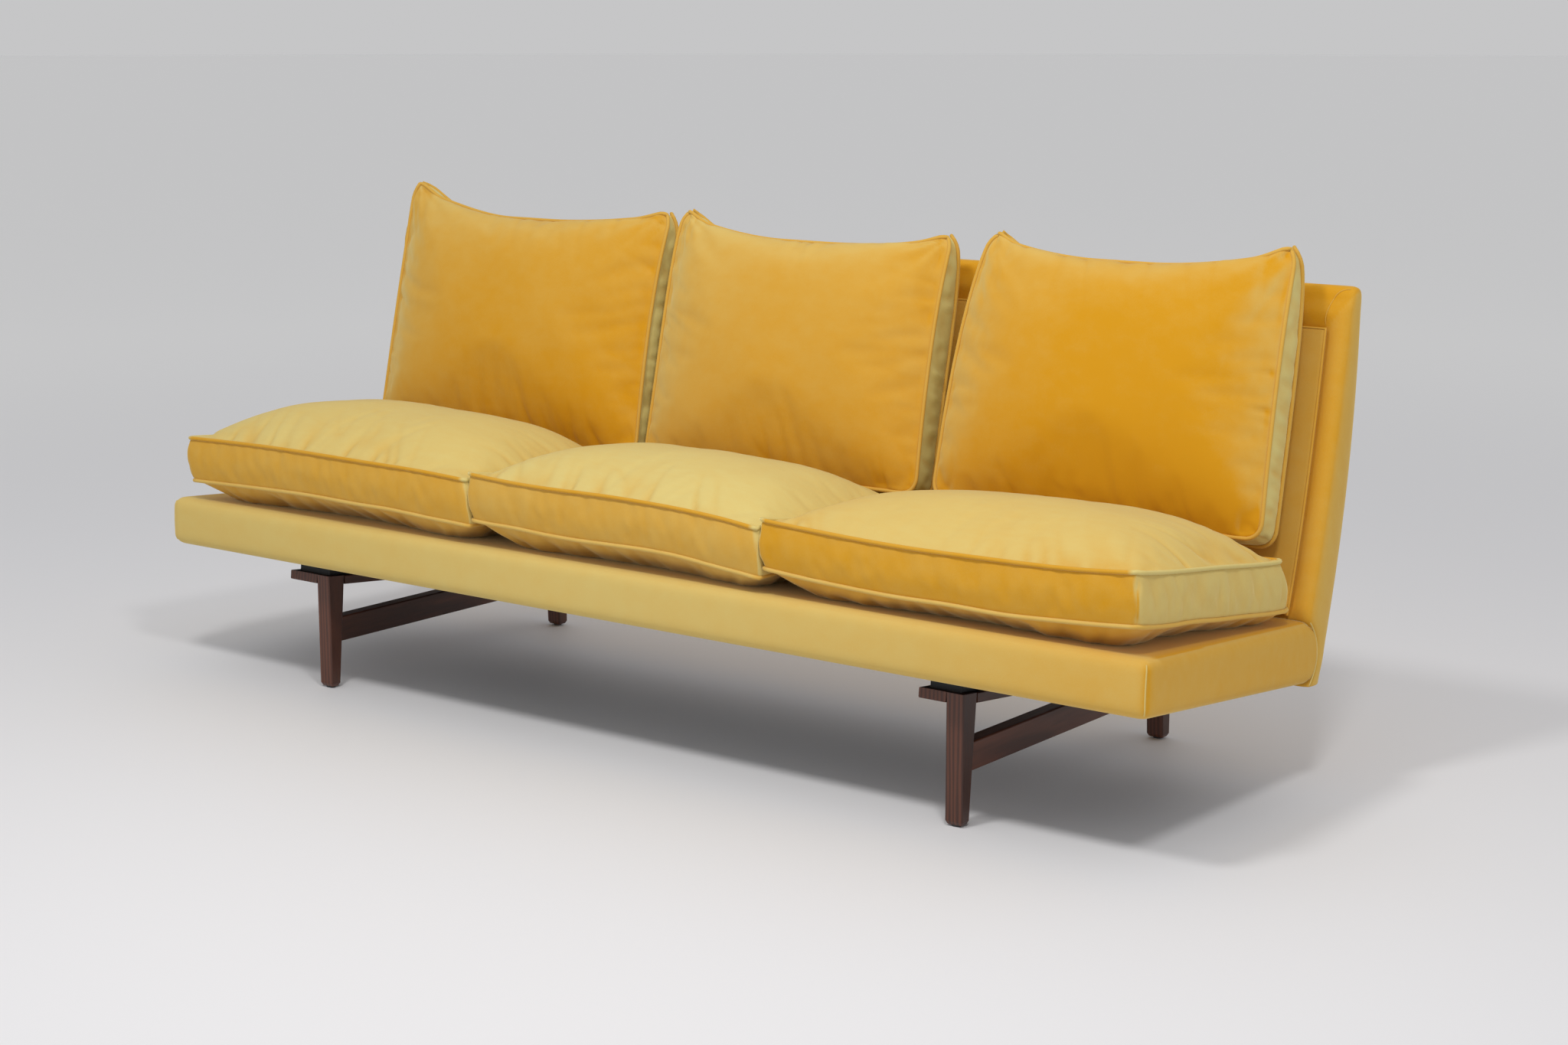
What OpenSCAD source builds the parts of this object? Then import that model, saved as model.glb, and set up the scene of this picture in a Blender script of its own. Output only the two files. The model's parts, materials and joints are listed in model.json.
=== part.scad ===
// Armless three-seat sofa: a tilted upholstered seat base and a leaning, bordered back
// stand on two wooden leg frames. Three boxed seat cushions and three boxed back
// cushions lie loose on it. +X runs along the sofa, -Y is the front, +Z is up, and the
// origin is on the floor under the middle of the bounding box.

/* [Overall] */
// Width of the seat base and of the back
sofa_w = 2040; // [1900:10:2200]
// Depth on the floor, from the front of the seat base to the rear feet
sofa_d = 674; // [660:1:700]
// Height of the top edge of the back
back_h = 779; // [760:1:800]

/* [Seat base] */
// Slope of the underside of the base, down towards the rear
base_tilt = 5.9; // [5:0.1:6.5]
// Slope of the deck that the seat cushions lie on
deck_tilt = 4.6; // [4:0.1:5]
// Thickness of the base at its front edge
base_t = 87; // [82:1:92]
// Depth of the underside of the base, up to the back
base_d = 503; // [498:1:508]
// How far the seam between base and back bulges to the rear
seam_bulge = 26; // [20:1:30]

/* [Upholstery] */
// Thickness of the velvet covers
cover_t = 3; // [2:0.5:4]
// Thickness of the padding between cover and wooden frame
pad_t = 11; // [8:1:14]
// Thickness of the foam on the deck
deck_foam_t = 18; // [14:1:20]
// Thickness of the rubber webbing
web_t = 3; // [2:0.5:4]
// Width of a webbing strap
web_w = 50; // [40:1:60]
// Number of straps across the seat
seat_straps = 13; // [9:1:16]
// Number of straps across the back
back_straps = 5; // [4:1:6]

/* [Back] */
// Width of the padded border around the inner panel
border_w = 42; // [36:1:50]
// Height of the top edge of the inner panel
panel_top = 713; // [700:1:725]
// How far the inner panel stands proud of the border
panel_proud = 6; // [3:1:8]

/* [Wooden parts] */
// Thickness of the hidden frame boards
rail_t = 24; // [20:1:28]
// Width of a leg and of its stretcher
leg_w = 31; // [28:1:34]
// Distance from the middle of the sofa to the outer face of a leg
leg_x = 688; // [650:1:720]
// Distance from the front of the base to the front legs
leg_front = 47; // [40:1:60]
// Depth of a leg at its foot
foot_d = 21; // [18:1:25]
// Depth of a leg at its top
leg_top_d = 37; // [32:1:40]
// Height of the underside of the top board at the front leg
board_z = 189; // [180:1:195]
// Thickness of the top board
board_t = 16; // [14:1:20]
// Thickness of the spacer between top board and base
spacer_t = 19; // [15:1:22]
// Overhang of the left top board beyond its leg
overhang_left = 68; // [45:1:75]
// Overhang of the right top board beyond its leg
overhang_right = 49; // [45:1:75]
// Height of the underside of the stretchers
stretcher_z = 82; // [76:1:86]
// Height of a stretcher board
stretcher_h = 45; // [38:1:46]
// Thickness of the glides under the legs
glide_h = 3; // [2:0.5:4]

/* [Cushions] */
// Depth of a seat cushion
seat_cushion_d = 452; // [440:1:456]
// Height of the lower piping of a seat cushion above the deck
seat_band_z = 32; // [25:1:40]
// Height of the side band of a seat cushion
seat_band_h = 78; // [70:1:80]
// Height of the crown of a seat cushion above the deck
seat_crown = 165; // [150:1:170]
// Lean of the back cushions
cushion_lean = 11; // [10.5:0.1:11.5]
// Height of a back cushion
back_cushion_h = 438; // [420:1:440]
// Thickness of the side band of a back cushion
back_band_t = 42; // [38:1:44]
// Swell of the front of a back cushion
back_swell = 50; // [40:1:52]
// Swell of the rear of a back cushion
rear_swell = 36; // [28:1:37]
// Thickness of a cushion's cover
ticking_t = 3; // [2:0.5:5]

/* [Hidden] */

// Colours of the finishes
velvet = [0.86, 0.66, 0.22];
rosewood = [0.27, 0.14, 0.09];
beech = [0.82, 0.68, 0.47];
foam = [0.93, 0.9, 0.78];
black = [0.07, 0.07, 0.07];
steel = [0.6, 0.6, 0.62];

// Side outlines are drawn as [distance behind the front edge, height].
base_slope = tan(base_tilt);
deck_slope = tan(deck_tilt);
base_z = board_z + (board_t + spacer_t) / cos(base_tilt) + leg_front * base_slope;
deck_z = base_z + base_t;
front_rake = 3;
function under(v) = base_z - v * base_slope;
function deck(v) = deck_z - (v - front_rake) * deck_slope;
function point_between(a, b, c, t) = (1 - t) * (1 - t) * a + 2 * t * (1 - t) * b + t * t * c;
function direction(a, b, c, t) = 2 * (1 - t) * (b - a) + 2 * t * (c - b);
function unit(v) = v / norm(v);
function inward(a, b, c, t, side) =
  let(d = unit(direction(a, b, c, t))) side * [d.y, -d.x];

// Seam between the side of the base and the side of the back
seam_top = [500, deck(500)];
seam_low = [base_d, under(base_d)];
seam_pull = [base_d - 3 + 2 * seam_bulge, (deck(500) + under(base_d)) / 2];
seam = [for (i = [0:8]) point_between(seam_top, seam_pull, seam_low, i / 8)];

// Front and rear curves of the back, from the deck or the underside to the top
front_low = [506, deck(506)];
front_pull = [566, 455];
front_top = [612, back_h];
rear_low = [548, under(548)];
rear_pull = [650, 470];
rear_top = [645, back_h];
curve_steps = 14;
function back_front(t, inset) = point_between(front_low, front_pull, front_top, t)
  + inset * inward(front_low, front_pull, front_top, t, 1);
function back_rear(t, inset) = point_between(rear_low, rear_pull, rear_top, t)
  + inset * inward(rear_low, rear_pull, rear_top, t, -1);
function front_run(from, to, inset) =
  [for (i = [0:curve_steps]) back_front(from + (to - from) * i / curve_steps, inset)];
function rear_run(from, to, inset) =
  [for (i = [0:curve_steps]) back_rear(from + (to - from) * i / curve_steps, inset)];
// Share of a curve's run at which it reaches a height
function front_share(z) = share(front_low.y, front_pull.y, front_top.y, z);
function rear_share(z) = share(rear_low.y, rear_pull.y, rear_top.y, z);
function share(a, b, c, z) =
  let(q = a - 2 * b + c, l = 2 * (b - a), k = a - z)
  abs(q) < 0.001 ? -k / l : (-l + sqrt(l * l - 4 * q * k)) / (2 * q);

// Places of the hidden frame
core_inset = cover_t + pad_t;
rail_drop = cover_t + deck_foam_t + web_t;
rail_lift = 6;
front_rail_y = core_inset;
rear_rail_y = 504;
cloth_t = 1.2;
stile_x = sofa_w / 2 - core_inset - rail_t;
stile_z = [196, 268];
stile_inset = 8;
rear_inset = 6;
post_x = 330;
post_inset = 24;
back_rail_z = [290, 330];
top_rail_z = [728, 754];
back_web_z = [330, 700];
// Shares of the back's curves at which its rounded top edge and the space inside it end
crown_from = 0.97;
space_to = 0.965;
back_bolt_z = [214, 238];
back_bolt_r = 3;
back_bolt_l = 44;

// Leg frames
front_leg_y = leg_front;
rear_leg_y = sofa_d;
rear_foot_d = 24;
rear_top_d = 34;
leg_edge_r = 3;
foot_bevel = 2.5;
taper_from = glide_h + 5;
leg_cut_z = 260;
pin_r = 2;
left_board = [-leg_x - overhang_left, -leg_x + leg_w];
right_board = [leg_x - leg_w - overhang_right, leg_x];
board_run = (sofa_d - leg_front - board_t * sin(base_tilt)) / cos(base_tilt);
rear_board_z = board_z - (sofa_d - leg_front) * tan(base_tilt);
stretcher_w = leg_w - 4;
bolt_y = [70, 255, 430];
bolt_r = 4;
bolt_l = 72;
dowel_r = 5;
dowel_l = 30;
spacer_in = 12;
spacer_l = 470;
notch_gap = 1.6;
dowel_z = [stretcher_z + 12, stretcher_z + stretcher_h - 12];

// Cushions: left and right ends of each, front to back and bottom to top as built
seat_ends = [[-962, -266], [-260, 350], [356, 998]];
back_ends = [[-930, -286], [-262, 322], [358, 955]];
seat_cushion_y = 4;
deck_gap = 1;
back_foot = [450, 405];
zip_t = 1.2;
zip_w = 6;
zip_in = 80;
// Clearance between neighbours, and the size of the blocks that cut parts to length
hair = 0.2;
far = 900;

// ---------- helpers ----------

// Turns a side outline into a solid that runs along X from one place to another
module run_x(from, to) {
  translate([from, -sofa_d / 2, 0]) rotate([90, 0, 90]) linear_extrude(to - from) children();
}

module across(w) {
  run_x(-w / 2, w / 2) children();
}

// Rectangle with rounded corners, centred
module soft_rect(w, d, r) {
  polygon([for (k = [0:3], i = [0:5])
    let(c = [(k == 0 || k == 3 ? 1 : -1) * (w / 2 - r), (k < 2 ? 1 : -1) * (d / 2 - r)])
    c + r * [cos(90 * k + 18 * i), sin(90 * k + 18 * i)]]);
}

// Frame of the top boards: front edge of the underside, turned to their slope
module on_board() {
  translate([0, leg_front - sofa_d / 2, board_z]) rotate([-base_tilt, 0, 0]) children();
}

// ---------- leg frames ----------

// Depth of a tapering leg at a height, from its depths at the foot and under the board
function leg_depth(foot, top, z) =
  foot + (top - foot) * (z - taper_from) / (board_z - taper_from);

// A leg that is straight on one face and tapers on the other, with a bevelled foot.
// Each layer is its height, its inset and its depth.
module leg(inner_x, straight_y, foot, top, toward) {
  layers = [[glide_h, foot_bevel, foot], [taper_from, 0, foot],
            [leg_cut_z, 0, leg_depth(foot, top, leg_cut_z)]];
  difference() {
    hull() for (l = layers)
      translate([inner_x + leg_w / 2, straight_y - sofa_d / 2 + toward * l[2] / 2, l[0]])
        linear_extrude(0.01) soft_rect(leg_w - 2 * l[1], l[2] - 2 * l[1], leg_edge_r);
    on_board() translate([inner_x - leg_w, -leg_front, board_t]) cube([3 * leg_w, far, far]);
    dowel_holes(inner_x);
    translate([inner_x + leg_w / 2, straight_y - sofa_d / 2 + toward * foot / 2, 0])
      cylinder(r = pin_r + hair, h = 16, $fn = 24);
  }
}

module front_leg(inner_x) { leg(inner_x, front_leg_y, foot_d, leg_top_d, 1); }

module rear_leg(inner_x) { leg(inner_x, rear_leg_y, rear_foot_d, rear_top_d, -1); }

// Where the sloping face of a leg stands at a height
function front_leg_back(z) = front_leg_y + leg_depth(foot_d, leg_top_d, z);
function rear_leg_front(z) = rear_leg_y - leg_depth(rear_foot_d, rear_top_d, z);

module stretcher(inner_x) {
  low = stretcher_z;
  high = stretcher_z + stretcher_h;
  difference() {
    intersection() {
      run_x(inner_x, inner_x + leg_w) polygon([
        [front_leg_back(low) + hair, low], [front_leg_back(high) + hair, high],
        [rear_leg_front(high) - hair, high], [rear_leg_front(low) - hair, low]]);
      translate([inner_x + leg_w / 2, 0, (low + high) / 2]) rotate([90, 0, 0])
        linear_extrude(sofa_d, center = true) soft_rect(stretcher_w, stretcher_h, leg_edge_r);
      on_board() translate([inner_x - leg_w, -leg_front, -far - hair]) cube([3 * leg_w, far, far]);
    }
    dowel_holes(inner_x);
  }
}

// Two dowels in each end of a stretcher
module dowels(inner_x, r) {
  for (z = dowel_z, y = [front_leg_back(z), rear_leg_front(z)])
    translate([inner_x + leg_w / 2, y - sofa_d / 2, z]) rotate([90, 0, 0])
      cylinder(r = r, h = dowel_l, center = true, $fn = 32);
}

module dowel_holes(inner_x) { dowels(inner_x, dowel_r + hair); }

// Flat board over the legs. Each leg's top stands in a notch at the board's corner.
module top_board(ends) {
  notch_x = ends[1] - leg_w - hair;
  front_notch = leg_depth(foot_d, leg_top_d, board_z) + notch_gap;
  rear_notch = leg_depth(rear_foot_d, rear_top_d, rear_board_z) + notch_gap;
  difference() {
    on_board() translate([(ends[0] + ends[1]) / 2, board_run, board_t / 2]) rotate([90, 0, 0])
      linear_extrude(board_run) soft_rect(ends[1] - ends[0], board_t, 2);
    translate([notch_x, leg_front - sofa_d / 2 - leg_w, board_z - leg_w])
      cube([2 * leg_w, front_notch + leg_w, 3 * leg_w]);
    translate([notch_x, sofa_d / 2 - rear_notch, rear_board_z - 2 * leg_w])
      cube([2 * leg_w, rear_notch + leg_w, 4 * leg_w]);
    bolt_holes(ends);
  }
}

module spacer(ends) {
  difference() {
    on_board() translate([ends[0] + spacer_in, spacer_in, board_t])
      cube([ends[1] - ends[0] - 2 * spacer_in, spacer_l, spacer_t - hair]);
    bolt_holes(ends);
  }
}

// Places of the bolts that hold a leg frame to the base. Each has a washer and a hexagon head.
module at_bolts(ends) {
  for (y = bolt_y) on_board() translate([(ends[0] + ends[1]) / 2, y, 0]) children();
}

module bolt_holes(ends) {
  at_bolts(ends) translate([0, 0, -1]) cylinder(r = bolt_r + hair, h = bolt_l + 3, $fn = 32);
}

module bolts(ends) {
  at_bolts(ends) {
    translate([0, 0, -1.5 - hair]) cylinder(r = 2.2 * bolt_r, h = 1.5, $fn = 32);
    translate([0, 0, -7]) cylinder(r = 1.7 * bolt_r, h = 5.5, $fn = 6);
    translate([0, 0, -2]) cylinder(r = bolt_r, h = bolt_l, $fn = 32);
  }
}

module glides() {
  for (x = [-leg_x + leg_w / 2, leg_x - leg_w / 2], y = [
      front_leg_y + foot_d / 2, rear_leg_y - rear_foot_d / 2]) {
    translate([x, y - sofa_d / 2, 0]) cylinder(r = 7.5, h = glide_h - 0.05, $fn = 32);
    translate([x, y - sofa_d / 2, 0]) cylinder(r = pin_r, h = 15, $fn = 24);
  }
}

// ---------- seat base ----------

module base_outline(front, top, side_rear) {
  polygon(concat(
    [[front, under(front)], [front_rake + front, deck(front_rake) - top]],
    side_rear));
}

// A frame board that stands on edge between the underside and the webbing
module rail_outline(from, to) {
  polygon([
    [from, under(from) + rail_lift], [from, deck(from) - rail_drop],
    [to, deck(to) - rail_drop], [to, under(to) + rail_lift]]);
}

module front_rail() {
  across(sofa_w - 2 * core_inset) rail_outline(front_rail_y, front_rail_y + rail_t);
}

module rear_rail() {
  difference() {
    across(sofa_w - 2 * core_inset) rail_outline(rear_rail_y, rear_rail_y + rail_t);
    back_bolt_holes();
  }
}

module end_rail(from) {
  run_x(from, from + rail_t)
    rail_outline(front_rail_y + rail_t + hair, rear_rail_y - hair);
}

module cross_rail(ends) {
  middle = (ends[0] + ends[1]) / 2;
  difference() {
    run_x(middle - 20, middle + 20)
      rail_outline(front_rail_y + rail_t + hair, rear_rail_y - hair);
    bolt_holes(ends);
  }
}

// Triangular glue blocks in the corners of the seat frame
module seat_corner_blocks() {
  size = 60;
  x = sofa_w / 2 - core_inset - rail_t - hair;
  corner_y = [front_rail_y + rail_t + 2 * hair, rear_rail_y - 2 * hair];
  for (side = [-1, 1], k = [0, 1])
    translate([side * x, corner_y[k] - sofa_d / 2, under(corner_y[k]) + 10 + 12 * (1 - k)])
      linear_extrude(25) polygon([[0, 0], [-side * size, 0], [0, (1 - 2 * k) * size]]);
}

module seat_web() {
  pitch = (sofa_w - 2 * core_inset) / seat_straps;
  for (i = [0:seat_straps - 1])
    let(x = (i - (seat_straps - 1) / 2) * pitch)
      run_x(x - web_w / 2, x + web_w / 2) polygon([
        [front_rail_y, deck(front_rail_y) - rail_drop + hair],
        [front_rail_y, deck(front_rail_y) - rail_drop + web_t],
        [rear_rail_y, deck(rear_rail_y) - rail_drop + web_t],
        [rear_rail_y, deck(rear_rail_y) - rail_drop + hair]]);
}

module deck_pad() {
  across(sofa_w - 2 * core_inset) polygon([
    [front_rail_y, deck(front_rail_y) - rail_drop + web_t + hair],
    [front_rail_y, deck(front_rail_y) - cover_t - hair],
    [rear_rail_y, deck(rear_rail_y) - cover_t - hair],
    [rear_rail_y, deck(rear_rail_y) - rail_drop + web_t + hair]]);
}

// Padding round the front and the ends of the frame
module edge_pad() {
  skin = cover_t + hair;
  rear = rear_rail_y - 6;
  difference() {
    across(sofa_w - 2 * skin) polygon([
      [skin, under(skin) + rail_lift], [skin + front_rake, deck(skin) - skin],
      [rear, deck(rear) - skin], [rear, under(rear) + rail_lift]]);
    across(sofa_w - 2 * core_inset + 2 * hair) polygon([
      [core_inset - hair, 0], [core_inset - hair, 2 * deck_z], [sofa_d, 2 * deck_z], [sofa_d, 0]]);
  }
}

// Velvet over the top, the front and the ends of the base, open below and behind
module seat_skin() {
  difference() {
    across(sofa_w) base_outline(0, 0, seam);
    across(sofa_w - 2 * cover_t) polygon([
      [cover_t, 0], [cover_t, under(0)], [cover_t + front_rake, deck(cover_t) - cover_t],
      [sofa_d, deck(sofa_d) - cover_t], [sofa_d, 0]]);
  }
}

// Thin cloth that closes the base from below, inside its cover and short of the back's
module underside_cloth() {
  front = cover_t + 1;
  rear = base_d - cover_t;
  difference() {
    across(sofa_w - 2 * front) polygon([
      [front, under(front) + hair], [front, under(front) + hair + cloth_t],
      [rear, under(rear) + hair + cloth_t], [rear, under(rear) + hair]]);
    bolt_holes(left_board);
    bolt_holes(right_board);
  }
}

// ---------- back ----------

// Outline of a back frame board, from its front inset to its rear inset
module stile_outline(front_inset, high) {
  rear_from = rear_share(stile_z[0]);
  rear_to = rear_share(high);
  foot_y = rear_rail_y + rail_t + hair;
  polygon(concat(
    [[foot_y, stile_z[0]], [foot_y, stile_z[1]]],
    front_run(front_share(stile_z[1] + 32), front_share(high), front_inset),
    [for (i = [curve_steps:-1:0])
      back_rear(rear_from + (rear_to - rear_from) * i / curve_steps, rear_inset)]));
}

module stile(from) {
  difference() {
    run_x(from, from + rail_t) stile_outline(stile_inset, top_rail_z[1]);
    back_bolt_holes();
  }
}

module mid_posts() {
  difference() {
    for (x = [-post_x, post_x])
      run_x(x - rail_t / 2, x + rail_t / 2)
        stile_outline(post_inset, top_rail_z[0] - 2);
    back_bolt_holes();
  }
}

module back_strip(front_inset, low, high) {
  polygon([
    back_front(front_share(low), front_inset), back_front(front_share(high), front_inset),
    back_rear(rear_share(high), rear_inset), back_rear(rear_share(low), rear_inset)]);
}

module upper_rail() {
  across(2 * stile_x - 2 * hair) back_strip(stile_inset, top_rail_z[0] + 2, top_rail_z[1]);
}

module lower_rails() {
  gap = rail_t / 2 + hair;
  spans = [[-stile_x + hair, -post_x - gap], [-post_x + gap, post_x - gap],
           [post_x + gap, stile_x - hair]];
  for (s = spans) run_x(s[0], s[1]) back_strip(post_inset, back_rail_z[0], back_rail_z[1]);
}

// Curved sheet that follows the front of the back between two heights
module back_sheet(w, low, high, outer, inner) {
  from = front_share(low);
  to = front_share(high);
  across(w) polygon(concat(
    front_run(from, to, outer),
    [for (i = [curve_steps:-1:0]) back_front(from + (to - from) * i / curve_steps, inner)]));
}

module back_web() {
  pitch = (back_web_z[1] - back_web_z[0]) / (back_straps - 1);
  for (i = [0:back_straps - 1])
    let(z = back_web_z[0] + i * pitch,
        from = front_share(z - web_w / 2), to = front_share(z + web_w / 2))
      across(2 * stile_x - 2 * hair) polygon([
        back_front(from, post_inset - web_t), back_front(to, post_inset - web_t),
        back_front(to, post_inset - hair), back_front(from, post_inset - hair)]);
}

panel_w = sofa_w - 2 * border_w;
panel_low = deck(front_low.x) + 8;
module back_foam_slab() {
  back_sheet(2 * stile_x - 2, panel_low, panel_top + 10, stile_inset + hair,
    post_inset - web_t - 1);
}

module inner_panel() { back_sheet(panel_w, panel_low, panel_top, -panel_proud, stile_inset); }

// Velvet border over the sides and the top of the back, with openings for the panel,
// for the rear cover and, behind the base, for the bolts
module border_skin() {
  inner_y = base_d - 40;
  difference() {
    across(sofa_w) polygon(concat(rear_run(0, crown_from, 0),
      [for (i = [1:5]) crown(i / 6)],
      [for (i = [curve_steps:-1:0]) back_front(crown_from * i / curve_steps, 0)], seam));
    across(sofa_w - 2 * cover_t) polygon(concat(
      [for (i = [0:curve_steps]) back_rear(0.01 + (space_to - 0.01) * i / curve_steps, cover_t)],
      [for (i = [curve_steps:-1:0]) back_front(space_to * i / curve_steps, cover_t)],
      [[inner_y, deck(front_low.x)], [inner_y, under(inner_y)]]));
    back_sheet(panel_w + 2 * hair, panel_low - hair, panel_top + hair, -20, 12);
    rear_layer(rear_cover_run[0] - 0.003, rear_cover_run[1] + 0.003, 1, cover_t, 0.3);
  }
}

// Rounded top edge between the front and the rear curve
function crown(s) =
  let(a = back_rear(crown_from, 0), c = back_front(crown_from, 0), middle = (a + c) / 2)
  point_between(a, [middle.x, 2 * back_h - middle.y], c, s);

// Sheet along the rear curve: its ends as shares of the curve, how far it stands out,
// how deep it goes, and how much wider than the rear cover it is on each side
rear_cover_run = [0.053, 0.927];
module rear_layer(from, to, out, deep, wider) {
  across(sofa_w - 2 * border_w + 2 * wider) polygon(concat(
    [for (i = [0:curve_steps]) back_rear(from + (to - from) * i / curve_steps, -out)],
    [for (i = [curve_steps:-1:0]) back_rear(from + (to - from) * i / curve_steps, deep)]));
}

module rear_cloth() { rear_layer(rear_cover_run[0], rear_cover_run[1], 0, cover_t - 0.5, 0); }

// Bolts that hold the back's boards to the rear rail
module at_back_bolts() {
  for (x = [-stile_x - rail_t / 2, -post_x, post_x, stile_x + rail_t / 2], z = back_bolt_z)
    translate([x, rear_rail_y + 6 - sofa_d / 2, z]) rotate([-90, 0, 0]) children();
}

module back_bolt_holes() {
  at_back_bolts() cylinder(r = back_bolt_r + hair, h = 2 * back_bolt_l, $fn = 24);
}

module back_bolt_set() { at_back_bolts() cylinder(r = back_bolt_r, h = back_bolt_l, $fn = 24); }

// ---------- cushions ----------

// Boxed cushion lying flat: a straight band with a crown above and below. The insets
// say how far in from the edges the crowns level out.
module boxed(w, d, band, crown_z, inset, shrink) {
  corner = 30;
  hull() {
    translate([0, 0, band[0]]) linear_extrude(band[1] - band[0])
      soft_rect(w - 2 * shrink, d - 2 * shrink, corner);
    for (z = [crown_z[0] + shrink, crown_z[1] - shrink]) translate([0, 0, z - 0.005])
      linear_extrude(0.01) soft_rect(w - 2 * inset[0], d - 2 * inset[1], corner * 1.5);
  }
}

module on_deck(ends) {
  translate([(ends[0] + ends[1]) / 2, front_rake - sofa_d / 2, deck_z]) rotate([-deck_tilt, 0, 0])
    translate([0, seat_cushion_y + seat_cushion_d / 2, 0]) children();
}

module seat_pad(ends, shrink) {
  on_deck(ends) boxed(ends[1] - ends[0], seat_cushion_d,
    [seat_band_z, seat_band_z + seat_band_h], [deck_gap, seat_crown], [110, 88], shrink);
}

// A back cushion stands on its lower edge with its front face towards -Y
module on_back(ends) {
  translate([(ends[0] + ends[1]) / 2, back_foot[0] - sofa_d / 2, back_foot[1]])
    rotate([-cushion_lean, 0, 0]) translate([0, 0, back_cushion_h / 2]) children();
}

module back_pad(ends, shrink) {
  on_back(ends) rotate([90, 0, 0]) boxed(ends[1] - ends[0], back_cushion_h,
    [-back_band_t, 0], [-back_band_t - rear_swell, back_swell], [90, 80], shrink);
}

module cushion_cover(ends, upright) {
  color(velvet) difference() {
    if (upright) back_pad(ends, 0); else seat_pad(ends, 0);
    if (upright) back_pad(ends, ticking_t); else seat_pad(ends, ticking_t);
  }
}

module cushion_core(ends, upright) {
  color(foam) if (upright) back_pad(ends, ticking_t + hair);
  else seat_pad(ends, ticking_t + hair);
}

module cushion_zip(ends, upright) {
  w = ends[1] - ends[0] - 2 * zip_in;
  color(black) if (upright)
    on_back(ends) translate([-w / 2, back_band_t / 2 - zip_w / 2, -back_cushion_h / 2 - zip_t])
      cube([w, zip_w, zip_t]);
  else
    on_deck(ends) translate([-w / 2, seat_cushion_d / 2, seat_band_z + seat_band_h / 2 - zip_w / 2])
      cube([w, zip_t, zip_w]);
}

// ---------- the sub-parts ----------

module left_front_leg() { color(rosewood) front_leg(-leg_x); }
module left_rear_leg() { color(rosewood) rear_leg(-leg_x); }
module left_stretcher() { color(rosewood) stretcher(-leg_x); }
module left_top_board() { color(rosewood) top_board(left_board); }
module left_spacer() { color(black) spacer(left_board); }
module right_front_leg() { color(rosewood) front_leg(leg_x - leg_w); }
module right_rear_leg() { color(rosewood) rear_leg(leg_x - leg_w); }
module right_stretcher() { color(rosewood) stretcher(leg_x - leg_w); }
module right_top_board() { color(rosewood) top_board(right_board); }
module right_spacer() { color(black) spacer(right_board); }
module foot_glides() { color(black) glides(); }
module stretcher_dowels() {
  color(beech) for (x = [-leg_x, leg_x - leg_w]) dowels(x, dowel_r);
}
module leg_bolts() { color(steel) for (ends = [left_board, right_board]) bolts(ends); }
module seat_front_rail() { color(beech) front_rail(); }
module seat_rear_rail() { color(beech) rear_rail(); }
module seat_left_rail() { color(beech) end_rail(-sofa_w / 2 + core_inset); }
module seat_right_rail() { color(beech) end_rail(sofa_w / 2 - core_inset - rail_t); }
module left_cross_rail() { color(beech) cross_rail(left_board); }
module right_cross_rail() { color(beech) cross_rail(right_board); }
module corner_blocks() { color(beech) seat_corner_blocks(); }
module seat_webbing() { color(black) seat_web(); }
module deck_foam() { color(foam) deck_pad(); }
module edge_padding() { color(foam) edge_pad(); }
module seat_cover() { color(velvet) seat_skin(); }
module dust_cover() { color(black) underside_cloth(); }
module back_left_stile() { color(beech) stile(-stile_x - rail_t); }
module back_right_stile() { color(beech) stile(stile_x); }
module back_mid_posts() { color(beech) mid_posts(); }
module back_top_rail() { color(beech) upper_rail(); }
module back_lower_rails() { color(beech) lower_rails(); }
module back_webbing() { color(black) back_web(); }
module back_foam() { color(foam) back_foam_slab(); }
module back_panel() { color(velvet) inner_panel(); }
module back_cover() { color(velvet) border_skin(); }
module back_rear_cover() { color(velvet) rear_cloth(); }
module back_bolts() { color(steel) back_bolt_set(); }
module seat_cushion_left() { cushion_cover(seat_ends[0], false); }
module seat_cushion_middle() { cushion_cover(seat_ends[1], false); }
module seat_cushion_right() { cushion_cover(seat_ends[2], false); }
module seat_core_left() { cushion_core(seat_ends[0], false); }
module seat_core_middle() { cushion_core(seat_ends[1], false); }
module seat_core_right() { cushion_core(seat_ends[2], false); }
module seat_zip_left() { cushion_zip(seat_ends[0], false); }
module seat_zip_middle() { cushion_zip(seat_ends[1], false); }
module seat_zip_right() { cushion_zip(seat_ends[2], false); }
module back_cushion_left() { cushion_cover(back_ends[0], true); }
module back_cushion_middle() { cushion_cover(back_ends[1], true); }
module back_cushion_right() { cushion_cover(back_ends[2], true); }
module back_core_left() { cushion_core(back_ends[0], true); }
module back_core_middle() { cushion_core(back_ends[1], true); }
module back_core_right() { cushion_core(back_ends[2], true); }
module back_zip_left() { cushion_zip(back_ends[0], true); }
module back_zip_middle() { cushion_zip(back_ends[1], true); }
module back_zip_right() { cushion_zip(back_ends[2], true); }

left_front_leg();
left_rear_leg();
left_stretcher();
left_top_board();
left_spacer();
right_front_leg();
right_rear_leg();
right_stretcher();
right_top_board();
right_spacer();
foot_glides();
stretcher_dowels();
leg_bolts();
seat_front_rail();
seat_rear_rail();
seat_left_rail();
seat_right_rail();
left_cross_rail();
right_cross_rail();
corner_blocks();
seat_webbing();
deck_foam();
edge_padding();
seat_cover();
dust_cover();
back_left_stile();
back_right_stile();
back_mid_posts();
back_top_rail();
back_lower_rails();
back_webbing();
back_foam();
back_panel();
back_cover();
back_rear_cover();
back_bolts();
seat_cushion_left();
seat_cushion_middle();
seat_cushion_right();
seat_core_left();
seat_core_middle();
seat_core_right();
seat_zip_left();
seat_zip_middle();
seat_zip_right();
back_cushion_left();
back_cushion_middle();
back_cushion_right();
back_core_left();
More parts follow.
